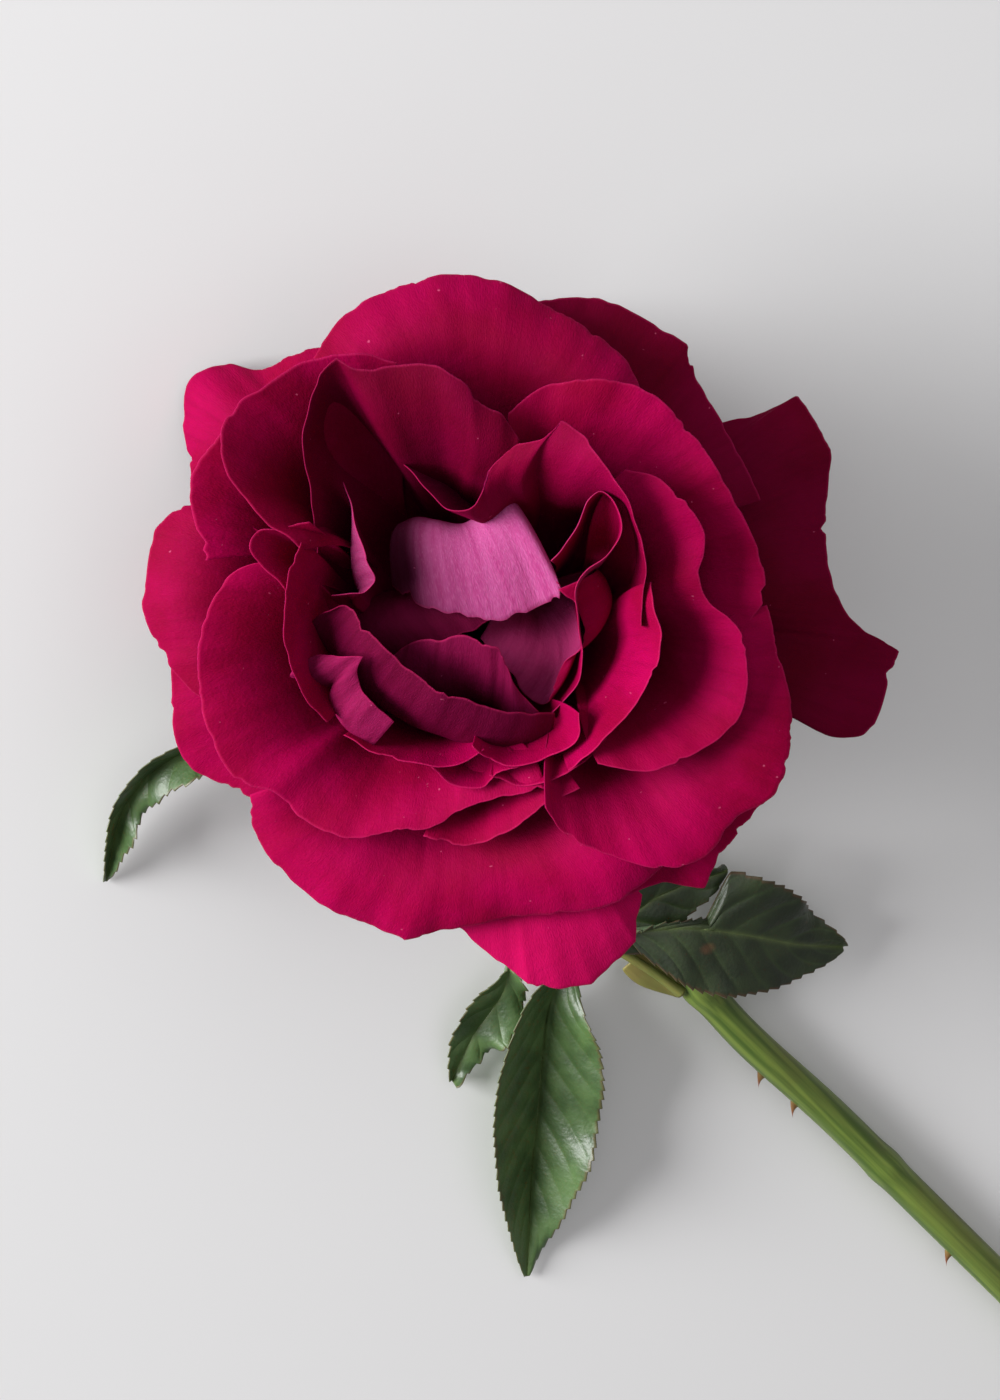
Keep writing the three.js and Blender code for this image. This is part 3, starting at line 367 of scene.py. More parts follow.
# %% The rims
# toward: direction of the petal, in degrees round the axis. claw: half the angle its foot spans.
# rise and lean: slope at the foot and at the rim. bow and curl: how long each slope is kept.
# fan: half the angle over which the lines spread at the rim. rim: x, y, height in mm, and where it
# differs the slope there.
PETAL_VALUES = ("name", "toward", "claw", "rise", "bow", "lean", "curl", "fan", "rim")
PETALS = [dict(zip(PETAL_VALUES, values)) for values in (
    ("hood", 108, 12, 60, 0.6, 205, 1, -12, [(5.5, 12, 31, 106), (9, 6.5, 33, 145),
     (11.5, 2, 32, 195), (8.5, 0.5, 31, 203), (3, -1.5, 30.5), (-3.5, -0.5, 30), (-9, 1, 28),
     (-12.5, 3, 25, 220)]),
    ("hood_right", 40, 12, 55, 0.5, 200, 0.45, 20, [(11, 3, 35), (13, 1, 33.5), (14.5, -2.5, 32),
     (14, -5.5, 30), (11.5, -8, 28), (9, -13, 26), (6.5, -12, 24), (3.5, -7.5, 23), (0, -4, 23)]),
    ("hood_left", 140, 12, 50, 0.5, 190, 0.6, 20, [(3, 1, 29), (0.5, -2, 28), (-4, -4, 27),
     (-11.5, -6, 24), (-17, -4, 20), (-19.5, 1.5, 16)]),
    ("heart_low", 266, 13, 40, 0.5, 150, 0.5, 20, [(-15, -8, 25), (-12, -6, 29), (-9, -4.5, 31.5),
     (-5.5, -4, 33), (-2.5, -3.5, 34), (-0.5, -4, 34), (1.5, -5, 34), (2.5, -5, 34), (3.5, -7, 33),
     (4.5, -10, 32), (6.5, -12.5, 30), (9.5, -15.5, 27)]),
    ("inner_low", 238, 14, 34, 0.5, 145, 0.45, 30, [(-21.5, 0, 36, 125), (-18.5, 0.5, 37, 140),
     (-15.5, -3, 38), (-11.5, -7, 38), (-6.5, -10.5, 37), (-1.5, -12.5, 36), (2, -14, 35),
     (7, -14.5, 33), (10.5, -14.5, 30)]),
    ("inner_left", 185, 11, 36, 0.42, 112, 0.3, 20, [(-19, 17.5, 36, 90), (-17.5, 15, 37, 95),
     (-17, 12.5, 38, 100), (-16.5, 9.5, 38, 112), (-15.5, 6.5, 38, 122), (-14.5, 4, 37, 125),
     (-16, 2.5, 36, 120), (-18, 2.5, 36, 100), (-20.5, 2, 35, 95)]),
    ("flap_left", 218, 11, 34, 0.45, 158, 0.42, 12, [(-22.5, -6.5, 34), (-19.5, -6.5, 37),
     (-16, -6.5, 38), (-17, -8.5, 37), (-16.5, -11, 36), (-15, -13, 36), (-12, -15.5, 34)]),
    ("scroll", 12, 12, 38, 0.42, 92, 0.33, 14, [(10, -15, 29), (13, -11, 32), (14, -5.5, 35),
     (13.5, 0, 38), (13.5, 3, 40), (15, 5, 41), (17.5, 7.5, 42), (19, 10.5, 43), (19, 13, 43),
     (18, 15, 43), (16.5, 16, 43), (15, 15, 43), (14, 13, 42), (12.5, 10.5, 41), (11, 8, 40),
     (10, 6.5, 39)]),
    ("pocket_low", 285, 11, 30, 0.42, 60, 0.3, 30, [(-1, -19, 34), (1.5, -21, 33), (6, -22, 33),
     (11, -20, 34), (13.5, -17.5, 36), (13.5, -14.5, 37)]),
    ("crescent_low", 245, 12, 27, 0.45, 65, 0.3, 35, [(-19, -17.5, 31), (-15, -20, 33),
     (-9.5, -21.5, 34), (-4, -21.5, 34), (0.5, -19.5, 33)]),
    ("crescent_right", 330, 12, 34, 0.42, 60, 0.3, 35, [(12.5, -22.5, 35), (16.5, -19, 38),
     (21.5, -12.5, 42), (24.5, -7.5, 44), (25, -3.5, 44), (24, 0.5, 44), (23.5, 3.5, 43)]),
    ("peak", 52, 14, 38, 0.55, 40, 0.3, 40, [(22.5, -2.5, 42, 92), (22.5, 4.5, 44, 92),
     (21.5, 10.5, 46, 90), (20, 15, 47, 84), (16.5, 20.5, 47.5, 35), (13.5, 24, 47, 12),
     (11, 25.5, 46.5, 6), (8.5, 23, 45.5, 4), (5.5, 22.5, 44.5, 4), (1.5, 19, 42.5, 15),
     (-1.5, 13.5, 40.5, 70), (-4.5, 13.5, 39, 90), (-7.5, 16.5, 38, 95), (-10.5, 20, 36, 95)]),
    ("shelf_a", 262, 11, 24, 0.45, 45, 0.3, 30, [(-6.5, -22, 32), (-4, -24.5, 31), (0.5, -25, 31),
     (2.5, -23, 32), (5.5, -22, 32)]),
    ("shelf_b", 285, 11, 22, 0.45, 45, 0.3, 30, [(1.5, -23, 32), (5.5, -24.5, 31), (10.5, -24, 32),
     (13.5, -22, 33), (17.5, -18, 35)]),
    ("back_wall", 118, 16, 46, 0.47, 5, 0.3, 34, [(5.5, 23, 42.5, 15), (3, 26.5, 44, 5),
     (0, 28, 45), (-2, 30.5, 46), (-6, 33, 46), (-11, 33, 46), (-15, 32.5, 46),
     (-17, 32.5, 46, 12), (-19.5, 34, 46, 40), (-22, 31.5, 46, 78), (-23.5, 28, 45, 88),
     (-24, 23, 43, 90), (-23, 15, 40, 90), (-23, 7, 34, 90), (-22.5, 0, 30, 90)]),
    ("blade_left", 188, 11, 27, 0.45, 60, 0.3, 35, [(-24.5, 9, 41), (-26.5, 2.5, 41),
     (-27, -4.5, 40), (-25, -11, 37), (-21, -15.5, 34)]),
    ("lobe_right", 350, 14, 34, 0.45, 10, 0.3, 50, [(16.5, -21.5, 36), (23.5, -22.5, 36),
     (29, -20.5, 36), (35.5, -15.5, 37), (37, -10, 38), (36, -3, 39), (31, 1.5, 40), (30, 5, 41),
     (31, 9.5, 42), (27.5, 15.5, 43), (24, 18, 43), (20, 19, 42)]),
    ("tongue_left", 172, 11, 30, 0.45, 40, 0.3, 30, [(-23.5, 12, 40), (-27.5, 11, 40),
     (-30.5, 10.5, 40), (-31.5, 8.5, 40), (-30, 6, 39), (-27, 2.5, 38)]),
    ("arch_top", 38, 14, 34, 0.45, 5, 0.35, 45, [(37, -2.5, 33), (39.5, 1.5, 34), (39, 7, 35),
     (33.5, 18, 38), (29, 24.5, 39), (23, 30, 40), (16.5, 31.5, 41), (9, 30.5, 41), (4, 27, 41)]),
    ("sweep_upper_left", 150, 14, 36, 0.45, 25, 0.3, 45, [(-11.5, 34, 40), (-16.5, 35, 41),
     (-23.5, 34, 41), (-29, 31, 41), (-33, 28.5, 41), (-35.5, 24.5, 41), (-35, 19.5, 41),
     (-32, 15, 41), (-29.5, 11.5, 41), (-26, 9.5, 41), (-24.5, 8, 40)]),
    ("sweep_lower_left", 225, 16, 22, 0.48, 0, 0.35, 50, [(-30, 6.5, 35), (-34.5, 5, 34),
     (-38.5, -1.5, 32), (-39.5, -7.5, 30), (-38.5, -16, 28), (-34, -24, 27), (-29, -25.5, 27),
     (-25.5, -29, 26), (-19, -32, 26), (-11.5, -31, 27), (-7, -30.5, 28), (-1.5, -27.5, 29),
     (9, -25, 31)]),
    ("shelf_low", 275, 11, 24, 0.42, 20, 0.3, 30, [(-8, -32, 26), (-2, -33, 26), (4, -31, 28),
     (9, -27.5, 30), (14, -25, 31)]),
    ("tuck_left", 155, 12, 26, 0.45, 10, 0.35, 35, [(-25, 33, 34), (-32, 29, 34), (-36.5, 24, 33),
     (-40, 19.5, 31), (-40.5, 16, 31), (-38.5, 7, 30)]),
    ("sweep_lower_right", 325, 16, 26, 0.48, -20, 0.4, 50, [(9, -27.5, 33), (11.5, -31, 31),
     (17, -34, 29), (24.5, -36, 28), (31, -35, 28), (36, -29, 29), (41, -26, 30), (43.5, -17, 32),
     (43, -11, 33), (41, -4, 33), (40, 0.5, 32)]),
    ("sweep_top", 93, 16, 30, 0.45, -40, 0.42, 45, [(22.5, 30, 32), (20, 35, 32), (17, 38, 32),
     (5.5, 44.5, 31), (-3, 47, 31), (-11, 45.5, 31), (-19.5, 40.5, 30), (-23.5, 35.5, 30)]),
    ("sweep_bottom", 250, 16, 18, 0.48, -45, 0.42, 50, [(-32.5, -26, 21), (-33, -29.5, 19),
     (-31, -34, 17), (-21.5, -42.5, 16), (-11, -47, 16), (-3.5, -45, 17), (7, -43.5, 19),
     (17, -42, 21), (22.5, -39, 23), (26.5, -36, 24)]),
    ("sweep_left", 178, 16, 22, 0.45, -40, 0.42, 35, [(-37.5, 15.5, 25), (-41, 15.5, 24),
     (-45.5, 12, 22), (-47.5, 4.5, 21), (-48, 0, 21), (-46, -5, 21), (-40.5, -11.5, 21),
     (-36, -15.5, 22)]),
    ("drape_upper_right", 55, 16, 30, 0.4, -20, 0.4, 35, [(40, 16, 20), (34.5, 26.5, 20),
     (31.5, 32, 20), (29.5, 38, 20), (22.5, 42, 20), (17, 44.5, 20), (10, 44.5, 21),
     (0, 42.5, 22)]),
    ("drape_lower_right", 310, 13, 30, 0.4, -25, 0.4, 30, [(11.5, -39, 18), (20, -40.5, 18),
     (25.5, -39, 18), (32, -39.5, 18), (34.5, -34, 20), (40.5, -27, 22)]),
    ("drape_bottom", 285, 14, 22, 0.4, -40, 0.42, 30, [(-5, -43.5, 14), (1.5, -49.5, 12),
     (7, -54, 11), (11.5, -54, 11), (16, -53.5, 11), (22.5, -47.5, 13), (23, -40.5, 15)]),
    ("drape_lower_left", 212, 14, 22, 0.4, -35, 0.42, 30, [(-44.5, -5.5, 12), (-44.5, -9.5, 11),
     (-44.5, -16, 9), (-42.5, -22.5, 7), (-37, -25, 7), (-31.5, -27.5, 8)]),
    ("drape_upper_left", 140, 16, 20, 0.4, -45, 0.42, 35, [(-22, 39, 6), (-26.5, 38, 5),
     (-32, 36, 3), (-37, 37, 1), (-42.5, 34.5, 1), (-43.5, 28.5, 0), (-43, 21, 1),
     (-42, 13.5, 3)]),
    ("guard_right", 3, 17, 22, 0.4, -20, 0.42, 40, [(41.5, -15.5, 12), (45.5, -14.5, 13),
     (49, -17.5, 13), (53.5, -18, 12), (56, -17, 11), (60.5, -5.5, 11), (52.5, 0, 13),
     (50, 7.5, 13), (50, 16, 13), (50.5, 23.5, 12), (46, 31.5, 11), (40.5, 29, 12), (34, 27, 13)]),
    ("guard_top", 98, 14, 12, 0.4, -50, 0.42, 30, [(11.5, 39.5, -5), (3, 44.5, -6.5),
     (-6, 45.5, -6.5), (-15, 41.5, -5), (-21, 36, -4)]),
    ("guard_left", 190, 14, 10, 0.4, -50, 0.42, 30, [(-41, 8, -7), (-45, 2.5, -8.5), (-45, -5, -7),
     (-43, -12.5, -6), (-38, -18.5, -5)]),
)]
print(len(PETALS), "petals")

# A rim turns sharply at these of its points, counted from 0; elsewhere it is smooth.
CORNERS = dict(
    inner_left=(5,), flap_left=(2,), peak=(6,), back_wall=(8,), lobe_right=(7,),
    sweep_lower_right=(5,), sweep_bottom=(4,), drape_upper_right=(3,), drape_lower_right=(3,),
    drape_bottom=(2, 4, 5), drape_upper_left=(3,), guard_right=(1, 5, 9, 10))

# %% Petal surface
ROW_CROWDING = 1.15     # above 1, the rows stand closer toward the rim
FOOT_RISE = 0.1         # how far a claw stands above the dome it grows from
# Length along the rim and depth of what is worn off it, mm, and the same for its notches.
FRAYS = ((8.3, 0.34), (4.1, 0.22), (2.3, 0.16))
FRAYED_STRETCHES = (34.0, 19.0)
NOTCHES = (13.0, 5.9)
NOTCH_DEPTH = 0.12


def pointing(azimuth, slope):
    """Unit vectors at an azimuth round the axis and a slope above the flat, both in degrees."""
    azimuth, slope = np.broadcast_arrays(np.radians(azimuth), np.radians(slope))
    return np.stack([np.cos(azimuth) * np.cos(slope), np.sin(azimuth) * np.cos(slope),
                     np.sin(slope)], axis=-1)


def cornered_line(points, corners, shares):
    """One smooth line from corner to corner, so that the whole turns sharply at each of them."""
    points = np.asarray(points, float)
    chords = lengths_along(points) / lengths_along(points)[-1]
    line = np.empty((len(shares), points.shape[1]))
    stops = [0, *corners, len(points) - 1]
    for first, last in zip(stops, stops[1:]):
        here = (shares >= chords[first]) & (shares <= chords[last])
        part = (shares[here] - chords[first]) / (chords[last] - chords[first])
        line[here] = smooth_line(points[first:last + 1], part)
    return line


def nicks(u, reach, seed):
    """How much shorter a petal is along its worn rim, in mm: short waves, kept only where two slow
    waves agree, so that a few stretches are frayed, and shallow notches all along."""
    random = np.random.default_rng(500 + seed)

    def wave(length):
        pitch = length * (0.85 + 0.3 * random.random())
        return np.sin(2 * np.pi * (reach / pitch * u + random.random()))

    frayed = np.clip(0.6 * sum(wave(length) for length in FRAYED_STRETCHES) - 0.1, 0, 1)
    worn = sum(depth * wave(length) for length, depth in FRAYS)
    notched = sum(wave(length) for length in NOTCHES)
    return np.clip(worn + 0.1, 0, None) * frayed + NOTCH_DEPTH * np.clip(notched, 0, None)


def petal_lines(petal, order, columns, rows):
    """For each place u along the rim a cubic Bezier curve from the claw to the rim:
    foot*(1-t)^3 + 3*first*(1-t)^2*t + 3*second*(1-t)*t^2 + end*t^3, where t is v less what the worn
    rim has lost, which counts only near the rim (v^8)."""
    u = np.linspace(0, 1, columns)
    v = 1 - (1 - np.linspace(0, 1, rows)) ** ROW_CROWDING
    drawn = np.array([p if len(p) == 4 else (*p, petal["lean"]) for p in petal["rim"]], float)
    rim = cornered_line(drawn, CORNERS.get(petal["name"], ()), u)
    end, lean = rim[:, :3], rim[:, 3]
    share = order / (len(PETALS) - 1)
    foot_radius = CLAW_INNER_RADIUS + (CLAW_OUTER_RADIUS - CLAW_INNER_RADIUS) * share
    foot_azimuth = petal["toward"] + (2 * u - 1) * petal["claw"]
    foot = foot_radius * pointing(foot_azimuth, 0.0)
    foot[:, 2] = dome_height(foot_radius) + FOOT_RISE
    length = np.linalg.norm(end - foot, axis=1)[:, None]
    first = foot + petal["bow"] * length * pointing(foot_azimuth, petal["rise"])
    second = end - petal["curl"] * length * pointing(petal["toward"] + (2 * u - 1) * petal["fan"], lean)
    foot, first, second, end = (p[:, None] for p in (foot, first, second, end))
    reach = np.linalg.norm(np.diff(end, axis=0), axis=1).sum()
    worn = nicks(u, reach, order)[:, None] / length
    t = (v[None, :] * (1 - worn * v[None, :] ** 8))[..., None]
    grid = foot * (1 - t) ** 3 + 3 * first * (1 - t) ** 2 * t \
        + 3 * second * (1 - t) * t ** 2 + end * t ** 3
    return grid, u, v

# %% [markdown]
# ## Ripples and paint
# A petal ripples more toward its rim, where it is also thinnest. Its red isn't even: painted shade
# darkens it toward the foot, the reverse is duller or mauve, and a pale line of painted highlight
# runs along the lip. A colour picture could carry all that, but four numbers at each point follow
# the petal's own shape.

# %% Petals with ripples and paint
PETAL_STEP = 0.45
FEWEST_COLUMNS, MOST_COLUMNS = 40, 260
PETAL_ROWS = 56
FOOT_THICKNESS = 0.5
RIM_THICKNESS = 0.16
# The pale line along a rim is partly painted highlight where the thin lip catches the light.
RIM_HIGHLIGHT_WIDTH = 0.3          # width of the pale line along a rim, mm
# Painted shade: how far a petal is darkened toward wine red where it lies in shadow; below zero,
# painted light: how far it is brightened toward pink.
PAINTED_SHADING = dict(guard_right=0.6, drape_upper_right=0.5, back_wall=0.55, peak=0.35, inner_low=0.6,
            heart_low=0.35, inner_left=0.2, hood_left=0.6, sweep_upper_left=0.2, sweep_top=0.16,
            sweep_left=0.08, sweep_bottom=-0.05, drape_bottom=-0.32, flap_left=0.1)
# Painted shade also darkens every petal toward its foot, down in the cup, by this share of the way to
# the darkest.
DARKEST_PAINTED_SHADE = 0.9
FOOT_SHADE = 0.9
# Painted shade on the hood where it comes out from under its neighbours, in their shadow: at its far
# end along the rim.
HOOD_DARK_END = (0.42, 0.9)
HOOD_DARKEST = 0.92
# How pale and mauve the reverse of a petal is; the outer ones are almost as red as their faces.
MAUVE = dict(hood=1.0, hood_right=0.22, hood_left=0.06, heart_low=0.06, inner_low=0.04, inner_left=0.4,
             flap_left=0.08, scroll=0.3)
PLAIN_MAUVE = 0.05
# Length along the rim and height of a petal's waves, mm.
RIPPLES = ((23.0, 0.3), (11.0, 0.14), (5.0, 0.06))
# Millimetres in one unit of the petals' uv, and how far apart two petals' uvs start.
UV_SCALE = 100
UV_APART = 3.7


def ripples(u, v, reach, seed):
    """Waves that grow toward the rim: v^4 times a sum of three sines of the place along the rim."""
    random = np.random.default_rng(seed)
    waves = np.zeros_like(u)
    for length, height in RIPPLES:
        waves = waves + height * np.sin(2 * np.pi * (reach / length * u + random.random()))
    return waves[:, None] * v[None, :] ** 4


def make_petal(order, petal):
    """The petal's lines rippled across their face, thinned by v^0.7 toward the rim and painted."""
    drawn = np.array([p[:3] for p in petal["rim"]], float)
    reach = np.linalg.norm(np.diff(drawn, axis=0), axis=1).sum()
    columns = int(np.clip(reach / PETAL_STEP, FEWEST_COLUMNS, MOST_COLUMNS))
    grid, u, v = petal_lines(petal, order, columns, PETAL_ROWS)
    grid = grid + directions(grid)[2] * ripples(u, v, reach, order + 1)[..., None]
    thin = FOOT_THICKNESS + (RIM_THICKNESS - FOOT_THICKNESS) * v ** 0.7
    points, faces, edge = skin(grid, np.tile(thin, (columns, 1)))
    to_rim = np.linalg.norm(np.diff(grid, axis=1), axis=-1)[:, ::-1].cumsum(axis=1)[:, ::-1]
    to_rim = np.concatenate([to_rim, np.zeros((columns, 1))], axis=1)
    # painted highlight along the rim, fading over its width
    near_rim = np.exp(-to_rim / RIM_HIGHLIGHT_WIDTH)
    # painted shade of a petal in shadow, growing toward its foot; below zero, painted light
    own = PAINTED_SHADING.get(petal["name"], 0.0)
    painted_shading = np.tile(own + (DARKEST_PAINTED_SHADE - own) * FOOT_SHADE * (1 - v) ** 1.5, (columns, 1))
    # painted shade on the hood's far end, in its neighbours' shadow
    if petal["name"] == "hood":
        end = np.clip((u - HOOD_DARK_END[0]) / (HOOD_DARK_END[1] - HOOD_DARK_END[0]), 0, 1)
        painted_shading = np.maximum(painted_shading, (HOOD_DARKEST * end ** 1.3)[:, None])
    mauve = np.full_like(painted_shading, MAUVE.get(petal["name"], PLAIN_MAUVE))
    front = np.stack([np.zeros_like(painted_shading), near_rim, painted_shading, mauve], axis=-1)
    flat = np.stack([np.tile(u[:, None] * reach / UV_SCALE, (1, PETAL_ROWS)) + order * UV_APART,
                     to_rim[:, :1] * v / UV_SCALE], axis=-1)
    name = "petal_" + petal["name"]
    piece("rose_" + name, from_bloom(points), faces, PETAL_VELVET, name,
          on_skin(front, edge, REVERSE), on_skin(flat, edge))


for order, petal in enumerate(PETALS):
    make_petal(order, petal)

# %% [markdown]
# ## Round bodies
# The receptacle, the stem, the leaf stalks and the prickles are all rings carried along a line and
# closed at both ends. One function joins such rings into a skin, so each body below only has to
# say where its rings lie.

# %% Skin over rings
def over_rings(rings, start, finish):
    """Joins neighbouring rings with four-sided faces and closes each end with a fan round a point.
    Ring points run counter-clockwise seen against the way the rings advance."""
    count, sides = rings.shape[:2]
    points = np.vstack([rings.reshape(-1, 3), [start, finish]])
    here = np.arange(count * sides).reshape(count, sides)
    after = np.roll(here, -1, axis=1)
    quads = np.stack([here[:-1], after[:-1], after[1:], here[1:]], axis=-1).reshape(-1, 4)
    first = np.stack([np.full(sides, count * sides), after[0], here[0]], axis=1)
    last = np.stack([np.full(sides, count * sides + 1), here[-1], after[-1]], axis=1)
    return points, quads.tolist() + first.tolist() + last.tolist()


def frames_along(line):
    """Unit vectors along a line of points and two square to it, the first kept as level as can be."""
    ahead = np.gradient(line, axis=0)
    ahead /= np.linalg.norm(ahead, axis=1, keepdims=True)
    side = np.cross(ahead, (0.0, 0.0, 1.0))
    weak = np.linalg.norm(side, axis=1) < 1e-3
    side[weak] = (1.0, 0.0, 0.0)
    side /= np.linalg.norm(side, axis=1, keepdims=True)
    return ahead, side, np.cross(side, ahead)


def tube_rings(line, radius, sides):
    """Rings round a line: centre + radius*(cos*side - sin*up), the radius one for each point."""
    _, side, up = frames_along(line)
    turn = np.linspace(0, 2 * np.pi, sides, endpoint=False)
    return line[:, None] + radius[:, None, None] * (np.cos(turn)[None, :, None] * side[:, None]
                                                    - np.sin(turn)[None, :, None] * up[:, None])


def join_skins(parts):
    """Puts several (points, faces, paint) skins into one, numbering their points on."""
    points = np.vstack([p for p, _, _ in parts])
    paint = np.vstack([c for _, _, c in parts])
    starts = np.cumsum([0] + [len(p) for p, _, _ in parts[:-1]])
    faces = [[k + start for k in face] for (_, fs, _), start in zip(parts, starts) for face in fs]
    return points, faces, paint


def make_body(parts, place, material, node):
    """One piece from several skins, which place carries into the table's frame."""
    points, faces, paint = join_skins(parts)
    piece("rose_" + node, place(points), faces, material, node, paint)

# %% [markdown]
# ## Green skins
# The stem is a smooth bright green, tinged brown-red where the sun has reached it, with fine streaks
# along its length and a pale cut. Leaves are darker and glossier above, dull and greyer beneath,
# with paler veins; the two right under the bloom wear a darker copy of the green as painted shade.
# A picture of a leaf could be laid over each one, but the skins' paint numbers already say where the
# veins run, so a vein in the relief is also a vein in the colour.

# %% Stem and leaf materials
def stem_bark(name, light, dark, blush):
    """Streaks of two greens under a blush, with brown thorns and a pale cut."""
    n = Nodes(name)
    thorn, cut, side, _ = n.paint()
    place = n.add("TexCoord").outputs["Object"]
    streaks = n.noise(place, 900.0, 3.0, stretch=(1.0, 0.03, 1.0))
    blotches = n.noise(place, 60.0, 3.0)
    tone = n.mix(n.ramp(streaks, 0.3, 0.7), light, dark)
    tone = n.mix(n.math("MULTIPLY", side, n.ramp(blotches, 0.35, 0.7, 0.1, 0.8)), tone, blush)
    tone = n.mix(thorn, tone, colour(128, 64, 48))
    tone = n.mix(cut, tone, colour(196, 200, 150))
    n.finish(Base_Color=tone, Roughness=n.ramp(blotches, 0.2, 0.8, 0.4, 0.55),
             Specular_IOR_Level=0.4, Subsurface_Weight=0.08, Subsurface_Scale=0.001,
             Normal=n.add("Bump", Strength=0.25, Distance=0.0003, Height=streaks).outputs[0])
    return n.material


def leaf_green(name, dark, light):
    """Mottled green with paler veins, a brown edge and rust spots above; grey-green beneath."""
    n = Nodes(name)
    reverse, vein, midrib, margin = n.paint()
    place = n.add("TexCoord").outputs["Object"]
    mottle = n.noise(place, 160.0, 4.0)
    cells = n.noise(place, 1500.0, 2.0)
    rust = n.noise(place, 95.0, 1.0)
    tone = n.mix(n.ramp(mottle, 0.3, 0.7), dark, light)
    tone = n.mix(n.math("MULTIPLY", vein, 0.18), tone, colour(84, 108, 58))
    tone = n.mix(n.math("MULTIPLY", midrib, 0.5), tone, colour(106, 122, 66))
    tone = n.mix(n.ramp(margin, 0.93, 1.0, 0.0, 0.4), tone, colour(96, 54, 36))
    tone = n.mix(n.ramp(rust, 0.73, 0.8, 0.0, 0.6), tone, colour(132, 84, 54))
    under = n.mix(n.math("MULTIPLY", vein, 0.5), colour(92, 112, 80), colour(126, 142, 104))
    tone = n.mix(reverse, tone, under)
    gloss = n.ramp(mottle, 0.2, 0.8, 0.38, 0.54)
    n.finish(Base_Color=tone, Roughness=n.math("ADD", gloss, n.math("MULTIPLY", reverse, 0.25)),
             Specular_IOR_Level=0.55, Subsurface_Weight=0.05, Subsurface_Scale=0.001,
             Normal=n.add("Bump", Strength=0.3, Distance=0.0003, Height=cells).outputs[0])
    return n.material


STEM_BARK = stem_bark("stem_bark", colour(108, 128, 54), colour(66, 90, 34), colour(104, 72, 48))
STALK_BARK = stem_bark("stalk_bark", colour(138, 146, 74), colour(104, 120, 54), colour(126, 82, 58))
HIP_GREEN = stem_bark("hip_green", colour(96, 122, 56), colour(74, 98, 42), colour(112, 84, 52))
LEAF_GREEN = leaf_green("leaf_green", colour(48, 70, 36), colour(72, 98, 52))
# A darker copy of the leaf green: painted shade for the two leaflets under the bloom.
SHADED_LEAF_GREEN = leaf_green("shaded_leaf_green", colour(24, 36, 15), colour(42, 56, 26))
print("greens:", [m.name for m in (STEM_BARK, STALK_BARK, HIP_GREEN, LEAF_GREEN, SHADED_LEAF_GREEN)])

# %% [markdown]
# ## Receptacle and sepals
# Under the petals sits a small green urn, the young hip, and from its shoulder hang five sepals,
# bent back now that the flower is open. The urn is a profile turned once round the axis. Each sepal
# is a tapering sheet with a keel below its midrib, so it is made with the same skin as the petals.

# %% Receptacle
def plain_paint(points, sunny=0.0):
    """Paint for bark: not a thorn, not the cut, and this much tinged by the sun."""
    return np.tile([0.0, 0.0, sunny, 0.0], (len(points), 1))


URN_RINGS = 48
URN_SIDES = 48
outline = smooth_line(np.column_stack([receptacle_profile(), np.zeros(len(receptacle_profile()))]),
                      np.linspace(0, 1, URN_RINGS))[:, :2]
urn_rings = np.swapaxes(ring(outline[:-1], URN_SIDES), 0, 1)
urn, urn_faces = over_rings(urn_rings, (0, 0, outline[0, 1]), (0, 0, outline[-1, 1]))
make_body([(urn, urn_faces, plain_paint(urn, 0.3))], from_bloom, HIP_GREEN, "receptacle")

# %% Sepals
SEPAL_LENGTH = 27.0
SEPAL_WIDTH = 8.0
SEPAL_THICKNESS = 0.6
SEPAL_TAPER = 0.8
SEPAL_ROWS, SEPAL_COLUMNS = 60, 21
SEPAL_FOOT_OUT = 0.8            # of the receptacle's radius
SEPAL_FOOT_DOWN = 0.3           # of its length
# Azimuth in degrees, and how far the tip hangs below the foot, mm.
SEPALS = [(-9, 17), (63, 13), (135, 7), (207, 13), (279, 17)]


def sepal_grid(azimuth, hang):
    """Runs out from the shoulder while it sinks by hang*t^1.6; its half width falls off as
    (1-t)^taper, its sides rise a little, and the midrib stands down as a keel."""
    t = np.linspace(0, 1, SEPAL_ROWS)[None, :]
    side = np.linspace(-1, 1, SEPAL_COLUMNS)[:, None]
    half = SEPAL_WIDTH / 2 * (1 - t) ** SEPAL_TAPER + 0.15
    out = RECEPTACLE_RADIUS * SEPAL_FOOT_OUT + SEPAL_LENGTH * t
    height = -RECEPTACLE_LENGTH * SEPAL_FOOT_DOWN - hang * t ** 1.6 + half * 0.3 * side ** 2
    height = height - 0.25 * np.exp(-(side / 0.18) ** 2) + 0.25 * np.sin(9 * t + azimuth) * side * t
    grid = out[..., None] * pointing(azimuth, 0.0) \
        + (side * half)[..., None] * pointing(azimuth + 90, 0.0)
    grid[..., 2] = height
    return grid, t, side


for number, (azimuth, hang) in enumerate(SEPALS, start=1):
    grid, t, side = sepal_grid(azimuth, hang)
    points, faces, edge = skin(grid, SEPAL_THICKNESS * (1 - 0.6 * np.abs(side)) * (1 - 0.5 * t))
    midrib = np.exp(-(side / 0.15) ** 2) + 0 * t
    front = np.stack([0 * midrib, 0 * midrib, midrib, np.abs(side) + 0 * t], axis=-1)
    name = "sepal_%d" % number
    piece("rose_" + name, from_bloom(points), faces, LEAF_GREEN, name,
          on_skin(front, edge, REVERSE))

# %% [markdown]
# ## The stem
# The neck bends over under the weight of the bloom and the stem runs straight on to its slanted
# cut. It swells at the leaf node and carries a few prickles that hook toward the cut. A bevelled
# curve would be quicker, but rings let the thickness, the swelling and the cut be worked out as
# plain formulas.

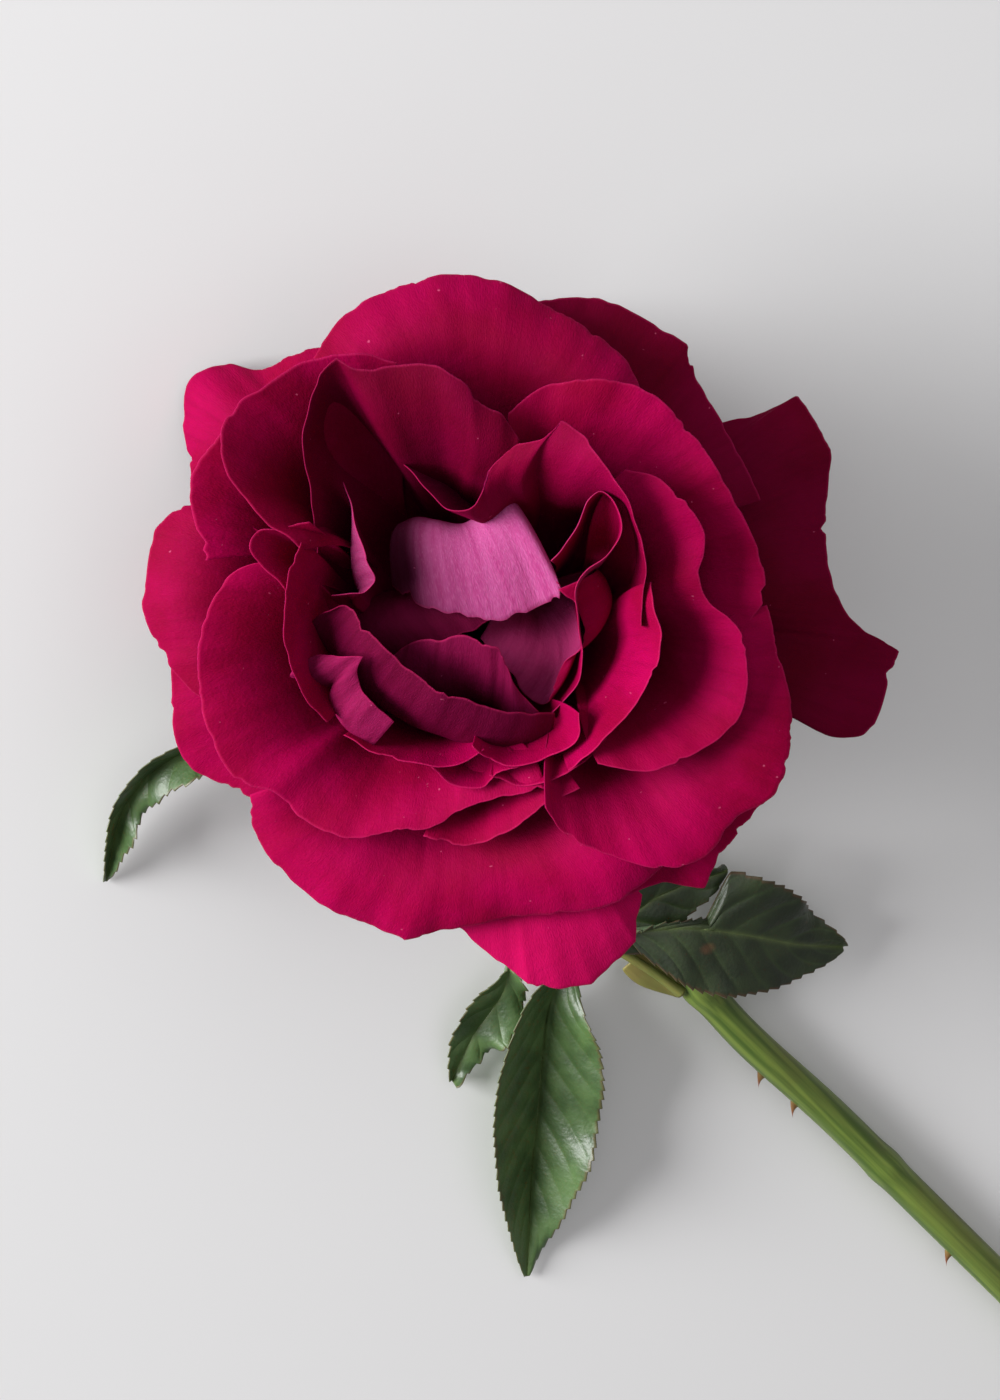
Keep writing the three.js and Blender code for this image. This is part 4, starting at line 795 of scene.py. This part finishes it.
# %% Stem line
NECK_BEND_RADIUS = 13.0
NODE_REACH = 81.0
STEM_OFFSET = 16.4
STEM_REACH = 242.0
CUT_SLANT = math.radians(35)
GAP = 0.3                       # between the receptacle and the stem
BEND_FOOT_SHARE = 0.4           # height of the bend's foot, as a share of the neck's
BEND_STEPS = (0, 0.33, 0.66, 1)
STRAIGHT_AFTER_NODE = 40
CLEAR_OF_TABLE = 0.1
BUD_SCAR_REACH = 130
STEM_STEPS = 420

lean_axis = TO_TABLE @ (0.0, 0.0, 1.0)
lift = np.array([0.0, 0.0, BLOOM_ORIGIN[2]])
neck = lift - lean_axis * (RECEPTACLE_LENGTH + GAP)
bend = math.radians(90) - BLOOM_TILT
bend_foot = neck[2] * BEND_FOOT_SHARE
node_height = bend_foot + (STEM_RADIUS - bend_foot) * NODE_REACH / STEM_REACH


def bend_point(share):
    """A place on the arc of the neck, whose slope falls evenly from the bloom's axis to level."""
    left = bend * (1 - share)
    return (0.0, neck[1] - lean_axis[1] - NECK_BEND_RADIUS * (math.sin(bend) - math.sin(left)),
            neck[2] - lean_axis[2] - NECK_BEND_RADIUS * (math.cos(left) - math.cos(bend)))


route = [tuple(neck)] + [bend_point(share) for share in BEND_STEPS] + [
    (-STEM_OFFSET, -NODE_REACH, node_height),
    (-STEM_OFFSET, -NODE_REACH - STRAIGHT_AFTER_NODE, (node_height + STEM_RADIUS) / 2),
    (-STEM_OFFSET, -STEM_REACH, STEM_RADIUS + CLEAR_OF_TABLE)]
stem_line = smooth_line(route, np.linspace(0, 1, STEM_STEPS))
run = lengths_along(stem_line)
print("stem length, mm:", round(run[-1], 1))


def stem_radius(length):
    """Thickens over the first two fifths, with a swelling at the node and a low one at a bud scar."""
    radius = NECK_RADIUS + (STEM_RADIUS - NECK_RADIUS) * np.minimum(1, length / run[-1] * 2.5)
    node, scar = run_at(NODE_REACH), run_at(BUD_SCAR_REACH)
    return radius + 0.75 * np.exp(-((length - node) / 3.2) ** 2) \
        + 0.25 * np.exp(-((length - scar) / 2.5) ** 2)


def run_at(reach):
    """The length of stem up to a distance behind the bloom's axis."""
    return np.interp(reach, -stem_line[:, 1], run)

# %% Stem and prickles
PRICKLE_LENGTH = 2.4
PRICKLE_RADIUS = 1.1
PRICKLES = [(101, 185), (109, 172), (151, 176), (168, 10), (187, 150), (214, 25)]
PRICKLE_HOOK = 1.7
PRICKLE_SIDES = 16
PRICKLE_RINGS = 14
LAST_RING = 0.97                # the share of a prickle's length where its last ring lies
STEM_SIDES = 40
CUT_RINGS = (0.97, 0.6, 0.3)    # each ring's size against the one before it


def stem_skin():
    """Rings round the stem line, cut off by a slanted plane: no point lies beyond
    y = cut + (height above the middle)*tan(slant). Three smaller rings fill the cut face."""
    rings = tube_rings(stem_line, stem_radius(run), STEM_SIDES)
    cut_at = -STEM_REACH + 2 * STEM_RADIUS
    plane = cut_at + (rings[..., 2] - STEM_RADIUS) * math.tan(CUT_SLANT)
    last_whole = np.flatnonzero((rings[..., 1] >= plane).any(axis=1))[-1]
    rings[..., 1] = np.maximum(rings[..., 1], plane)
    rings = rings[:last_whole + 2]
    middle = rings[-1].mean(axis=0)
    for size in CUT_RINGS:
        rings = np.concatenate([rings, (middle + (rings[-1] - middle) * size)[None]])
    points, faces = over_rings(rings, rings[0].mean(axis=0), middle)
    paint = plain_paint(points)
    beside = points[:, 0] - np.interp(-points[:, 1], -stem_line[:, 1], stem_line[:, 0])
    paint[:, 2] = np.clip(0.5 + 0.5 * beside / STEM_RADIUS, 0, 1) * 0.5
    paint[-2 - len(CUT_RINGS) * STEM_SIDES:-2, 1] = 1
    paint[-1, 1] = 1
    return points, faces, paint


def prickle_skin(reach, azimuth):
    """A cone whose middle line bends toward the cut as s^2 and whose radius falls as (1-s)^1.3;
    its foot is drawn out along the stem."""
    share = run_at(reach)
    centre = np.array([np.interp(share, run, stem_line[:, k]) for k in range(3)])
    outward = np.array([math.cos(math.radians(azimuth)), 0.0, math.sin(math.radians(azimuth))])
    down = np.array([0.0, -1.0, 0.0])
    s = np.linspace(0, LAST_RING, PRICKLE_RINGS)
    line = centre + outward * (stem_radius(share) * 0.8 + PRICKLE_LENGTH * s[:, None]) \
        + down * (PRICKLE_HOOK * s[:, None] ** 2)
    across = np.cross(outward, down)
    turn = np.linspace(0, 2 * np.pi, PRICKLE_SIDES, endpoint=False)
    radius = (PRICKLE_RADIUS * (1 - s) ** 1.3)[:, None, None]
    rings = line[:, None] + radius * (np.cos(turn)[None, :, None] * across * 0.6
                                      + np.sin(turn)[None, :, None] * down * 1.15)
    points, faces = over_rings(rings[:, ::-1], line[0], line[-1] + outward * 0.1)
    paint = plain_paint(points)
    paint[:-2, 0] = np.repeat(0.35 + 0.65 * s, PRICKLE_SIDES)
    paint[-1, 0] = 1
    return points, faces, paint


make_body([stem_skin()] + [prickle_skin(*place) for place in PRICKLES], from_table, STEM_BARK,
          "stem")

# %% [markdown]
# ## Leaves
# A rose leaf is several toothed leaflets on one stalk, with a pair of stipules clasping the stalk's
# foot. A leaflet is a midrib with two halves folded up from it. Its blade puffs up a little between
# the side veins, and its margin is cut into forward-pointing teeth. The teeth could be cut with a
# boolean, but as a saw-edged width they cost nothing and stay part of one even grid.

# %% Leaf stalks
STALK_RADIUS = 0.9
STALK_ROUTE = [(-19.4, -78.5, 6.4), (-20.5, -70, 7.4), (-22.8, -61.5, 7.6), (-28, -56, 7.2),
               (-33.5, -54, 6.6)]
SIDE_STALK_ROUTE = [(-2.6, -12.5, 6.8), (-12, -7.5, 5), (-23, 3, 7), (-32.2, 9.3, 9.3)]
STALK_STEPS = 90
STALK_SIDES = 20
STIPULE_LENGTH = 11.0
STIPULE_WIDTH = 4.0
STIPULE_THICKNESS = 0.35
STIPULE_ROWS, STIPULE_COLUMNS = 50, 12
ROUTE_SAMPLES = 200             # points by which a stipule measures its way along the stalk
STALK_SUNNY = 0.5
STIPULE_SUNNY = 0.9


def stalk_skin(route):
    """Rings along the route, the radius a little fuller at both ends, each closed by a fan."""
    line = smooth_line(route, np.linspace(0, 1, STALK_STEPS))
    s = np.linspace(-1, 1, STALK_STEPS)
    rings = tube_rings(line, STALK_RADIUS * (0.85 + 0.3 * s ** 6), STALK_SIDES)
    points, faces = over_rings(rings, line[0], line[-1])
    return points, faces, plain_paint(points, STALK_SUNNY)


def stipule_skin(route, hand):
    """A narrow wing beside the stalk: its width swells as sin, and its free tip curls away."""
    line = smooth_line(route, np.linspace(0, 1, ROUTE_SAMPLES))
    length = lengths_along(line)
    t = np.linspace(0, 1, STIPULE_ROWS)
    middle = np.stack([np.interp(t * STIPULE_LENGTH, length, line[:, k]) for k in range(3)], axis=1)
    _, side, up = frames_along(middle)
    side = -side * hand
    s = np.linspace(0, 1, STIPULE_COLUMNS)
    width = STIPULE_WIDTH / 2 * (0.25 + 0.9 * np.sin(np.pi * t ** 1.4) ** 0.8)
    out = width[None, :, None] * s[:, None, None]
    curl = 1.2 * t[None, :, None] ** 5 * s[:, None, None]
    grid = middle[None] + side[None] * (0.5 + out + curl) - up[None] * (0.35 * out + 0.5 * curl)
    if hand < 0:
        grid = grid[::-1]
    points, faces, _ = skin(grid, np.full(grid.shape[:2], STIPULE_THICKNESS))
    return points, faces, plain_paint(points, STIPULE_SUNNY)


make_body([stalk_skin(STALK_ROUTE), stipule_skin(STALK_ROUTE, 1), stipule_skin(STALK_ROUTE, -1)],
          from_table, STALK_BARK, "leaf_stalk")
make_body([stalk_skin(SIDE_STALK_ROUTE)], from_table, STALK_BARK, "side_stalk")

# %% Leaflets
# width: of the whole blade, mm. fold: how far each half rises from the midrib, in degrees. roll:
# turn of the blade about it. bitten: the share of its length over which one half is torn away. Two
# blades have closed up as they dried, so their folds are steep.
LEAFLETS = [
    dict(name="leaflet_right", width=19, fold=8, roll=-4, bitten=0.36,
         midrib=[(-20.4, -60.8, 9.6), (-12.2, -67.6, 11.4), (-6.2, -76.5, 10.5), (-1.1, -86.3, 8),
                 (4, -94.8, 4.6)]),
    dict(name="leaflet_behind", width=13, fold=10, roll=8,
         midrib=[(-24.5, -56.2, 8.8), (-18.7, -59.8, 9.4), (-10.4, -62.2, 9.4), (-0.6, -68.4, 7.6)]),
    dict(name="leaflet_front", width=22, fold=41, roll=6,
         midrib=[(-25.6, -60.4, 7), (-34.5, -63.9, 4.6), (-41.6, -70.6, 2.6), (-49.1, -78.3, 1.4),
                 (-56.4, -85.1, 1), (-69.6, -98.4, 1.2)]),
    dict(name="leaflet_end", width=9, fold=24, roll=0,
         midrib=[(-34.6, -53.4, 6.2), (-39.5, -57.1, 4.6), (-47.1, -59.5, 3), (-54.8, -63.4, 1.2)]),
    dict(name="leaflet_left", width=8, fold=50, roll=0,
         midrib=[(-33, 9.5, 9.4), (-41.3, 10.8, 9.8), (-51.1, 12.8, 8), (-58.8, 10.4, 5),
                 (-68.6, 2.6, 1)]),
]
TOOTH_PITCH = 2.1
TOOTH_DEPTH = 0.55
VEIN_PITCH = 5.5
VEIN_SLANT = 0.55
WAVE_HEIGHT = 0.8
LEAFLET_STALK_SHARE = 0.06
BLADE_SKEW = 0.76
BLADE_FULLNESS = 0.9
PUFF = 0.42             # how far the blade swells between two side veins, mm
FURROW = 0.35           # and how far it sinks along the midrib
LEAF_ROWS, LEAF_COLUMNS = 260, 61


def blade_shape(t):
    """Width along the midrib, sin(pi*share^skew)^fullness past a short stalk: broadest below the
    middle, then a drawn-out point."""
    share = np.clip((t - LEAFLET_STALK_SHARE) / (1 - LEAFLET_STALK_SHARE), 0, 1)
    return np.sin(np.pi * share ** BLADE_SKEW) ** BLADE_FULLNESS


def leaflet_grid(midrib, width, fold, roll, seed, bitten=0.0):
    """Point = midrib + side*half width*cos(fold) + up*(half width*|side|*sin(fold) + relief); the half
    width is the blade shape with a saw edge, and the relief swells between the side veins, sinks
    along the midrib and waves toward the margin."""
    t = np.linspace(0, 1, LEAF_ROWS)
    side = np.linspace(-1, 1, LEAF_COLUMNS)[:, None]
    line = smooth_line(midrib, t)
    length = np.linalg.norm(np.diff(line, axis=0), axis=1).sum()
    ahead, right, up = frames_along(line)
    left = -right * math.cos(math.radians(roll)) + up * math.sin(math.radians(roll))
    up = np.cross(ahead, left)
    half = STALK_RADIUS * 0.6 + width / 2 * blade_shape(t)[None, :]
    saw = (t * length / TOOTH_PITCH) % 1.0
    teeth = TOOTH_DEPTH * np.clip(blade_shape(t) * 2.5, 0, 1) * (saw ** 1.2 - 0.5)
    bite = np.clip((bitten + 0.03 - t) / 0.06 + 0.5 * np.sin(40 * t), 0, 1) * (bitten > 0)
    half = half * np.where(side > 0, 1 - 0.85 * bite[None, :], 1)
    half = half + teeth[None, :] * np.abs(side) ** 6
    slant = np.abs(side) * width * VEIN_SLANT
    between = (t[None, :] * length - slant) / VEIN_PITCH
    vein = np.exp(-((between % 1.0 - 0.5) / 0.09) ** 2)
    inside = np.sin(np.pi * np.clip(np.abs(side), 0, 1)) ** 0.5
    relief = (PUFF * np.abs(np.sin(np.pi * (between - 0.5))) ** 0.7 - 0.2) * inside * blade_shape(t)
    relief = relief - FURROW * np.exp(-(side * half / 0.5) ** 2)
    waves = np.sin(2 * np.pi * (t * 2.2 + 0.37 * seed)) \
        + 0.5 * np.sin(2 * np.pi * (t * 4.6 + 0.21 * seed))
    waves = WAVE_HEIGHT * waves[None, :] * np.abs(side) ** 2 * (1 + 0.6 * side)
    rise = half * np.abs(side) * math.sin(math.radians(fold)) + relief + waves
    grid = line[None] + left[None] * (side * half * math.cos(math.radians(fold)))[..., None] \
        + up[None] * rise[..., None]
    midrib_paint = np.exp(-(side * half / 0.45) ** 2)
    margin = np.abs(side) + 0 * rise
    paint = np.stack([np.zeros_like(rise), vein * inside, midrib_paint, margin], axis=-1)
    return grid, paint, side * half, t


for seed, leaflet in enumerate(LEAFLETS):
    grid, front, reach, t = leaflet_grid(leaflet["midrib"], leaflet["width"], leaflet["fold"],
                                         leaflet["roll"], seed, leaflet.get("bitten", 0.0))
    rib = 0.22 + 0.9 * np.exp(-(reach / 0.5) ** 2) * (1 - 0.7 * t)
    points, faces, edge = skin(grid, rib)
    name = leaflet["name"]
    # the two leaflets under the bloom wear the painted-shade copy
    green = SHADED_LEAF_GREEN if name in ("leaflet_right", "leaflet_behind") else LEAF_GREEN
    piece("rose_" + name, from_table(points), faces, green, name,
          on_skin(front, edge, REVERSE))

# %% [markdown]
# ## Table and light
# A plain pale table lets the crimson speak. One soft lamp to the left, like a window, gives the
# petals their shaded sides and dark hollows, and a wide faint one above fills in. A picture of a
# room wrapped round the scene would light it too, but two lamps say plainly where the light is.

# %% Table and light
FLOOR_HALF = 3.0
# Each lamp's place in the bloom's frame (mm), the side of its square (m) and its power (W).
LAMPS = dict(window=((-1080, 80, 780), 0.75, 40.0), room=((350, 250, 1200), 1.6, 6.0))
ROOM_GLOW = 0.25
floor = bpy.data.meshes.new("table")
corners = [(x * FLOOR_HALF, y * FLOOR_HALF, 0) for x, y in ((-1, -1), (1, -1), (1, 1), (-1, 1))]
floor.from_pydata(corners, [], [(0, 1, 2, 3)])
table = bpy.data.objects.new("table", floor)
bpy.context.collection.objects.link(table)
n = Nodes("pale_table")
n.finish(Base_Color=(0.72, 0.715, 0.72, 1), Roughness=0.9)
floor.materials.append(n.material)


def soft_light(name, place, size, power):
    """A square lamp at a place in the bloom's frame (mm), turned to look at the bloom."""
    lamp = bpy.data.lights.new(name, "AREA")
    lamp.size = size
    lamp.energy = power
    holder = bpy.data.objects.new(name, lamp)
    bpy.context.collection.objects.link(holder)
    centre = from_bloom((0.0, 0.0, 25.0))
    holder.location = from_bloom(place)
    holder.rotation_mode = "QUATERNION"
    holder.rotation_quaternion = Vector(centre - np.array(holder.location)).to_track_quat("-Z", "Y")


for name, lamp in LAMPS.items():
    soft_light(name, *lamp)
world = bpy.data.worlds.new("room")
bpy.context.scene.world = world
world.use_nodes = True
world.node_tree.nodes["Background"].inputs[0].default_value = (1.0, 0.99, 1.0, 1)
world.node_tree.nodes["Background"].inputs[1].default_value = ROOM_GLOW
bpy.context.scene.view_settings.view_transform = "Standard"
